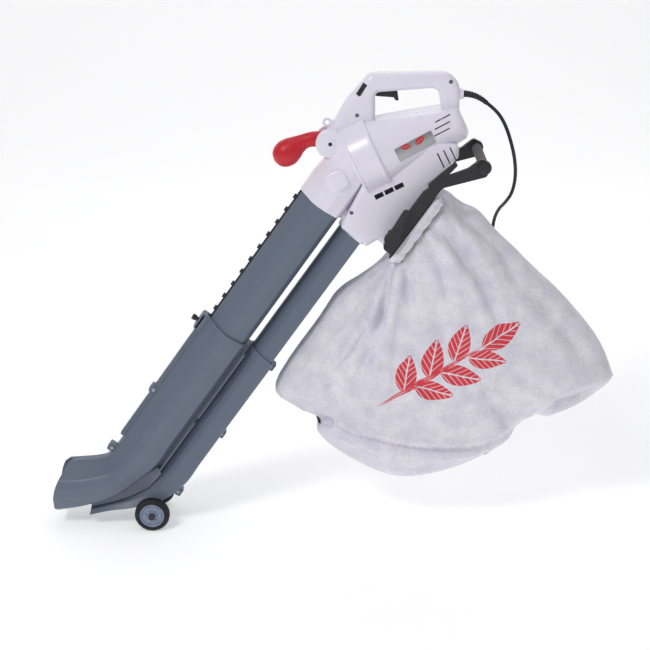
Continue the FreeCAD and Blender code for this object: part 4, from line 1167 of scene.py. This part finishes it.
class BLOWER_OT_lead(Operator):
    """Makes the mains lead, its ribbed boot and its moulded plug"""

    bl_idname = "blower.lead"
    bl_label = "Mains lead"

    def execute(self, context):
        sizes = context.scene.blower_sizes
        start, middle = np.array([105.5, 0, -24.0]), np.array([130.0, 0, -24.0])
        end = np.array([151.0, 0, -42.0])
        t = np.linspace(0, 1, 90)
        path = (
            (1 - t)[:, None] ** 2 * start
            + 2 * (t * (1 - t))[:, None] * middle
            + t[:, None] ** 2 * end
        )
        # The boot tapers, and its nine ribs fade in at the casing and out before the end.
        wide, narrow, rib_height, rib_count = 6.6, 4.4, 0.45, 9
        ribs = rib_height * np.cos(t * 2 * math.pi * rib_count)
        ribs = ribs * np.clip((0.86 - t) * 12, 0, 1) * np.clip(t * 14, 0, 1)
        radius = wide + (narrow - wide) * t + ribs
        boot = lever(np.column_stack([path[:, 0], path[:, 2], radius, radius]), 2.0, 180, 32)
        piece("power_boot", [boot], "root", "black_rubber", ("cord_boot",))

        plug = np.array([183.0, 110.0, -366.0])
        down = np.array([0, 0, -1.0])
        body = blob(plug + down * 33, (down, [1, 0, 0], SIDE), (13, 18, 12), 4.2, 30, 56)
        s = np.linspace(1, 21, 30)
        neck = np.column_stack([s, 4.6 + s * 0.17 + 0.35 * np.sin(s * 2.2)])
        neck = np.concatenate([[(0, 4.2)], neck, [(24, 10)]])
        grips = []
        for d in (28, 32, 36, 40):
            for side in (-1, 1):
                centre = plug + down * d + side * SIDE * 11.6
                grips.append(blob(centre, (down, [1, 0, 0], SIDE), (1.0, 11, 1.0), 3, 12, 24))
        moulded = piece(
            "plug_moulded",
            [body, turned(neck, plug, down, 40)] + grips,
            "root",
            "black_rubber",
            ("plug_body",),
        )

        data = bpy.data.curves.new("mains_lead", "CURVE")
        data.dimensions = "3D"
        data.bevel_depth = sizes.lead_diameter / 2
        data.bevel_resolution = 6
        data.resolution_u = 16
        data.use_fill_caps = True
        spline = data.splines.new("NURBS")
        spline.points.add(len(LEAD_ROUTE) - 1)
        for point, place in zip(spline.points, LEAD_ROUTE):
            point.co = (*place, 1.0)
        spline.order_u = 3
        spline.use_endpoint_u = True
        lead = bpy.data.objects.new("mains_lead", data)
        context.scene.collection.objects.link(lead)
        dress(lead, "root", "black_rubber", ("power_cord",))
        return {"FINISHED"}


# ---------------------------------------------------------------- casing trim


class BLOWER_OT_casing_trim(Operator):
    """Makes the drum's two lips, the side dome, the end caps, the pivot covers and black discs that
    paint the shade in the pivot's and the screws' holes
    """

    bl_idname = "blower.casing_trim"
    bl_label = "Casing trim"

    def execute(self, context):
        lip = [(43.5, 70.0), (43.5, 74.6), (46.5, 75.0), (50.5, 73.2), (51.5, 70.0)]
        rim = [(-1.2, 66.0), (-1.2, 73.2), (1.8, 74.4), (4.5, 73.6), (4.5, 66.0)]
        lips = [
            turned(rounded_loop(profile, radius, 4), DRUM_FACE, MOTOR_ALONG, 160, True)
            for profile, radius in ((lip, 1.2), (rim, 1.0))
        ]
        piece("drum_lips", lips, "root", "white_casing")
        dome = blob((-133, -50, -181), (SIDE, MOTOR_ALONG, MOTOR_DOWN), (6.5, 21, 20), 3.4, 24, 56)
        piece("side_dome", [dome], "root", "white_casing")

        # Profiles (distance to the side, radius) of the grip's cap, the pivot's cover and its
        # socket, whose face stands 26 mm to the side. The socket is a black disc in the cover's
        # hole, which paints the hole's shade.
        face = 26.0
        cap = (
            (76.5, 6),
            (76.5, 12.2),
            (77.4, 13.2),
            (88.8, 13.2),
            (90.6, 12.4),
            (91.4, 10.5),
            (91.6, 6),
        )
        cover = (
            (face - 4, 10.4), (face, 10.4), (face + 0.9, 9.6), (face + 1.1, 4.2), (face - 0.5, 3.6)
        )
        socket = ((face - 1, 3.5), (face + 0.6, 3.5), (face + 0.7, 2.6), (face + 0.2, 1.2))
        caps, covers, hole_shade_discs = [], [], []
        for side in (-1, 1):
            caps.append(turned(cap, GRIP_BOLT, SIDE * side, 56))
            covers.append(turned(cover, HANDLE_PIVOT, SIDE * side, 56))
            hole_shade_discs.append(turned(socket, HANDLE_PIVOT, SIDE * side, 32))
        # Black discs at three screws paint the shade in their holes.
        for x, z, disc_face in ((-106, -245, 44.0), (80, 2, 15.5), (-96, -62, 15.5)):
            shaded_hole_profile = ((disc_face - 1, 3.3), (disc_face + 0.35, 3.3), (disc_face + 0.45, 2.5), (disc_face - 0.2, 1.0))
            hole_shade_discs.append(turned(shaded_hole_profile, (x, 0, z), -SIDE, 32))
        piece("grip_end_caps", caps, "bag", "black_plastic")
        piece("pivot_covers", covers, "root", "white_casing")
        piece("screw_sockets", hole_shade_discs, "root", "black_plastic")
        return {"FINISHED"}


# ---------------------------------------------------------------- catch bag

BAG_OUTLINE = (
    (62.2, -213.3),
    (90, -224),
    (124, -240),
    (146, -246),
    (188, -290),
    (309, -405),
    (392, -502),
    (427, -571),
    (425, -597),
    (352, -655),
    (262, -688),
    (222, -742),
    (122, -790),
    (10, -811),
    (-83, -779),
    (-160, -724),
    (-176, -678),
    (-230, -645),
    (-261, -601),
    (-172, -463),
    (-131, -404),
    (-66, -372),
    (-22.7, -334.5),
)
BAG_MIDDLE = np.array([95.0, 0.0, -520.0])
MOUTH_MIDDLE = np.array([19.7, 0.0, -273.9])
BAG_HALF = 94.0
# The cloth that the frame holds, and the open mouth, each above a depth below the ducts' middle
# line and between two places along the slope. The mouth is also narrower than the bag.
HELD_DEPTH, HELD_LOW, HELD_HIGH = 190, -310, -115
MOUTH_DEPTH, MOUTH_LOW, MOUTH_HIGH, MOUTH_HALF = 177, -270, -156, 68
# Creases that hang from the mouth: depth in millimetres, width, then points (x, z).
CREASES = (
    (24.0, 13.0, ((-30, -318), (-77, -404), (-137, -500), (-163, -557))),
    (12.0, 8.5, ((-14, -308), (-40, -404), (-56, -489))),
    (11.0, 9.0, ((-20, -332), (-95, -395), (-180, -470))),
    (7.0, 8.0, ((2, -300), (0, -380), (24, -450))),
    (8.0, 9.0, ((22, -280), (66, -350), (80, -425))),
    (9.0, 11.0, ((50, -250), (120, -330), (172, -430), (190, -515))),
    (9.0, 10.0, ((90, -235), (180, -315), (226, -398))),
    (5.0, 8.0, ((34, -262), (90, -300), (128, -380))),
    (6.0, 13.0, ((-163, -557), (-120, -640), (-60, -700))),
    (7.0, 16.0, ((250, -400), (330, -500), (372, -575))),
    (10.0, 9.0, ((-182, -668), (-90, -704), (40, -730), (160, -726), (262, -684))),
    (8.0, 10.0, ((258, -690), (300, -640), (392, -600))),
    (6.0, 10.0, ((-230, -620), (-170, -600), (-100, -612))),
    (5.0, 12.0, ((-90, -520), (10, -560), (90, -640))),
    (5.0, 13.0, ((210, -560), (280, -600), (330, -640))),
    (4.0, 10.0, ((-140, -660), (-40, -680), (70, -668))),
)


def bag_pillow():
    """The bag's start: a closed outline through the listed points, with rings between its two
    sides. A ring at angle f from -90 to 90 degrees is the outline drawn in to the bag's middle by
    cos f to the power 2 / p, at a side distance of half the width times sin f to 2 / p. The
    power p rises, and the width falls, near the mouth, which is squarer and narrower."""
    outline = catmull(np.array(BAG_OUTLINE + BAG_OUTLINE[:1]), 264)[:-1]
    near_mouth = np.exp(-(((outline - MOUTH_MIDDLE[[0, 2]]) ** 2).sum(1)) / 95.0**2)
    power = 2.5 + 5.0 * near_mouth
    half = BAG_HALF - 4.0 - 12.0 * near_mouth
    f = np.linspace(-math.pi / 2, math.pi / 2, 61)[:, None]
    draw_in = np.abs(np.cos(f)) ** (2 / power)
    side = np.sign(f) * np.abs(np.sin(f)) ** (2 / power) * half
    middle = BAG_MIDDLE[[0, 2]]
    flat = middle + (outline - middle)[None] * draw_in[..., None]
    return skin(upright(flat[..., 0], flat[..., 1], side))


def crease_depth(points, depth, width, line):
    """How far a crease draws the cloth in: it falls off as a bell with the distance from the
    crease's line, and a lower ridge stands along both sides of it."""
    count = 40
    line = catmull(line, count)
    flat = points[:, [0, 2]]
    gaps = np.linalg.norm(flat[:, None] - line[None], axis=2)
    distance = gaps.min(1)
    along = gaps.argmin(1) / (count - 1)
    fade = np.clip(along * 6 + 0.25, 0, 1) * np.clip((1 - along) * 3, 0, 1)
    bell = np.exp(-((distance / width) ** 2))
    ridge = np.exp(-(((distance - 2.0 * width) / (1.1 * width)) ** 2))
    return depth * fade * (bell - 0.45 * ridge)


def evaluated_mesh(thing):
    """A new mesh of a piece with its modifiers applied."""
    graph = bpy.context.evaluated_depsgraph_get()
    return bpy.data.meshes.new_from_object(thing.evaluated_get(graph))


def read_points(items, name="co"):
    """One row of three numbers for each vertex or face of a mesh."""
    rows = np.empty(len(items) * 3)
    items.foreach_get(name, rows)
    return rows.reshape(-1, 3)


def settle_cloth(bag):
    """Lets the cloth fill with air: it is a little larger than its shape, so it swells and
    wrinkles, held at the mouth. A move m becomes cap tanh(m / cap), so it never passes the
    cap of 13 mm."""
    cap, last_frame = 13 * MM, 22
    mesh = bag.data
    start = read_points(mesh.vertices)
    depth, a = start @ DUCT_OFF / MM, start @ DUCT_UP / MM
    held = (depth < HELD_DEPTH) & (a > HELD_LOW) & (a < HELD_HIGH)
    group = bag.vertex_groups.new(name="mouth")
    group.add(np.nonzero(held)[0].tolist(), 1.0, "REPLACE")
    cloth = bag.modifiers.new("Cloth", "CLOTH")
    settings = cloth.settings
    settings.quality = 5
    settings.mass = 0.25
    settings.tension_stiffness = 12
    settings.compression_stiffness = 12
    settings.shear_stiffness = 4
    settings.bending_stiffness = 0.35
    settings.use_pressure = True
    settings.uniform_pressure_force = 3.2
    settings.shrink_min = -0.045
    settings.vertex_group_mass = "mouth"
    settings.effector_weights.gravity = 0.12
    cloth.collision_settings.use_collision = False
    scene = bpy.context.scene
    for frame_number in range(1, last_frame + 1):
        scene.frame_set(frame_number)
    moved = evaluated_mesh(bag)
    step = read_points(moved.vertices) - start
    bag.modifiers.remove(cloth)
    bpy.data.meshes.remove(moved)
    scene.frame_set(1)
    length = np.maximum(np.linalg.norm(step, axis=1), 1e-9)[:, None]
    step = step / length * cap * np.tanh(length / cap)
    mesh.vertices.foreach_set("co", (start + step).ravel())
    mesh.update()


class BLOWER_OT_bag(Operator):
    """Makes the catch bag from cloth filled with air, and its gathered hem at the frame"""

    bl_idname = "blower.bag"
    bl_label = "Catch bag"

    def execute(self, context):
        points, faces = bag_pillow()
        mesh = bpy.data.meshes.new("catch_bag_cloth")
        mesh.from_pydata((points * MM).tolist(), [], faces.tolist())
        clean(mesh, 180.0)
        bag = bpy.data.objects.new("catch_bag_cloth", mesh)
        context.scene.collection.objects.link(bag)
        remesh = bag.modifiers.new("Remesh", "REMESH")
        remesh.mode = "VOXEL"
        remesh.voxel_size = 9 * MM
        bag.data = evaluated_mesh(bag)
        bag.modifiers.clear()
        settle_cloth(bag)
        smooth = bag.modifiers.new("Subdivision", "SUBSURF")
        smooth.levels = smooth.render_levels = 1
        bag.data = evaluated_mesh(bag)
        bag.modifiers.clear()
        mesh = bag.data
        place = read_points(mesh.vertices) / MM
        normal = read_points(mesh.vertices, "normal")
        near = sum(crease_depth(place, *crease) for crease in CREASES)
        # The far side has the same creases, 0.6 times as deep and 14 mm lower.
        lower = place + [0, 0, 14.0]
        far = sum(crease_depth(lower, s * 0.6, w, line) for s, w, line in CREASES)
        share = 1 / (1 + np.exp(place[:, 1] / 12))
        fold = share * near + (1 - share) * far
        # The creases start at the hem and reach their depth 25 mm below it.
        fold = fold * np.clip((place @ DUCT_OFF - 176) / 25, 0, 1)
        place = place - normal * fold[:, None]
        mesh.vertices.foreach_set("co", (place * MM).ravel())
        middle = read_points(mesh.polygons, "center") / MM
        a = middle @ DUCT_UP
        mouth = (middle @ DUCT_OFF < MOUTH_DEPTH) & (np.abs(middle[:, 1]) < MOUTH_HALF)
        mouth &= (a > MOUTH_LOW) & (a < MOUTH_HIGH)
        work = bmesh.new()
        work.from_mesh(mesh)
        work.faces.ensure_lookup_table()
        gone = [work.faces[index] for index in np.nonzero(mouth)[0]]
        bmesh.ops.delete(work, geom=gone, context="FACES")
        bmesh.ops.recalc_face_normals(work, faces=work.faces)
        work.to_mesh(mesh)
        work.free()
        mesh.polygons.foreach_set("use_smooth", np.full(len(mesh.polygons), True))
        wall = bag.modifiers.new("Solidify", "SOLIDIFY")
        wall.thickness, wall.offset = 0.9 * MM, -1.0
        dress(bag, "bag", "bag_fabric", ("catch_bag",))

        # The hem: a rounded rectangle round the frame's ring, carried down the outlet's line,
        # with a tunnel for its cord and ruffles, sums of sines, that grow towards the bag.
        corners = [(-290, -84), (-136, -84), (-136, 84), (-290, 84)]
        loop = rounded_loop(corners, 16, 14)
        dense = np.concatenate([loop, loop[:1]])
        steps = np.concatenate([[0], np.cumsum(np.linalg.norm(np.diff(dense, axis=0), axis=1))])
        along = np.linspace(0, steps[-1], 360, endpoint=False)
        loop = np.column_stack([np.interp(along, steps, dense[:, i]) for i in (0, 1)])
        tangent = np.roll(loop, -1, 0) - np.roll(loop, 1, 0)
        out = np.column_stack([tangent[:, 1], -tangent[:, 0]])
        out /= np.linalg.norm(out, axis=1)[:, None]
        t = np.linspace(0, 1, 26)[:, None]
        ripple = np.sin(along / 4.1 + 1.3 * np.sin(along / 31)) + 0.4 * np.sin(along / 2.3 + 1)
        tunnel = 2.4 * np.exp(-(((t - 0.3) / 0.16) ** 2))
        stand = 0.4 + tunnel + ripple[None] * (0.2 + 0.7 * t) - 12.0 * np.clip(t - 0.45, 0, 1)
        flat = loop[None] + out[None] * stand[..., None]
        below = 161.0 + 21 * t + 0.5 * ripple[None] * t
        grid = along_ducts(flat[..., 0], below + 0 * stand, flat[..., 1])
        hem = piece("bag_hem", [skin(grid)], "bag", "bag_fabric", sharp=180.0)
        wall = hem.modifiers.new("Solidify", "SOLIDIFY")
        wall.thickness, wall.offset = 1.2 * MM, -1.0
        pulls = [
            capsule((-172, -14, -684), (-168, -16, -696), 2.8),
            capsule((182, -12, -759), (170, -14, -766), 3.2),
        ]
        pulls = piece("zip_pulls", pulls, "bag", "black_plastic")
        return {"FINISHED"}


class BLOWER_OT_finishes(Operator):
    """Gives every frame part the material of its slot"""

    bl_idname = "blower.finishes"
    bl_label = "Finishes"

    def execute(self, context):
        dress_nodes()
        return {"FINISHED"}


OPERATORS = (
    BLOWER_OT_stage,
    BLOWER_OT_lead,
    BLOWER_OT_finishes,
    BLOWER_OT_upper_ducts,
    BLOWER_OT_lower_ducts,
    BLOWER_OT_wheels,
    BLOWER_OT_front_handle,
    BLOWER_OT_casing_trim,
    BLOWER_OT_bag,
)


class BLOWER_PT_pieces(Panel):
    """Lists the sizes, the colours and the steps that build the pieces"""

    bl_label = "Leaf blower"
    bl_idname = "BLOWER_PT_pieces"
    bl_space_type = "VIEW_3D"
    bl_region_type = "UI"
    bl_category = "Leaf blower"

    def draw(self, context):
        for group in (context.scene.blower_sizes, context.scene.blower_colours):
            for name in type(group).__annotations__:
                self.layout.prop(group, name)
        for operator in OPERATORS:
            self.layout.operator(operator.bl_idname)


CLASSES = (BlowerSizes, BlowerColours, *OPERATORS, BLOWER_PT_pieces)


def register():
    for kind in CLASSES:
        bpy.utils.register_class(kind)
    bpy.types.Scene.blower_sizes = PointerProperty(type=BlowerSizes)
    bpy.types.Scene.blower_colours = PointerProperty(type=BlowerColours)


def unregister():
    del bpy.types.Scene.blower_colours
    del bpy.types.Scene.blower_sizes
    for kind in reversed(CLASSES):
        bpy.utils.unregister_class(kind)


def main():
    """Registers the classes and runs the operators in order."""
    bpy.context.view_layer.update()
    register()
    for operator in OPERATORS:
        group, name = operator.bl_idname.split(".")
        getattr(getattr(bpy.ops, group), name)()
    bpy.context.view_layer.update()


if __name__ == "__main__":
    main()
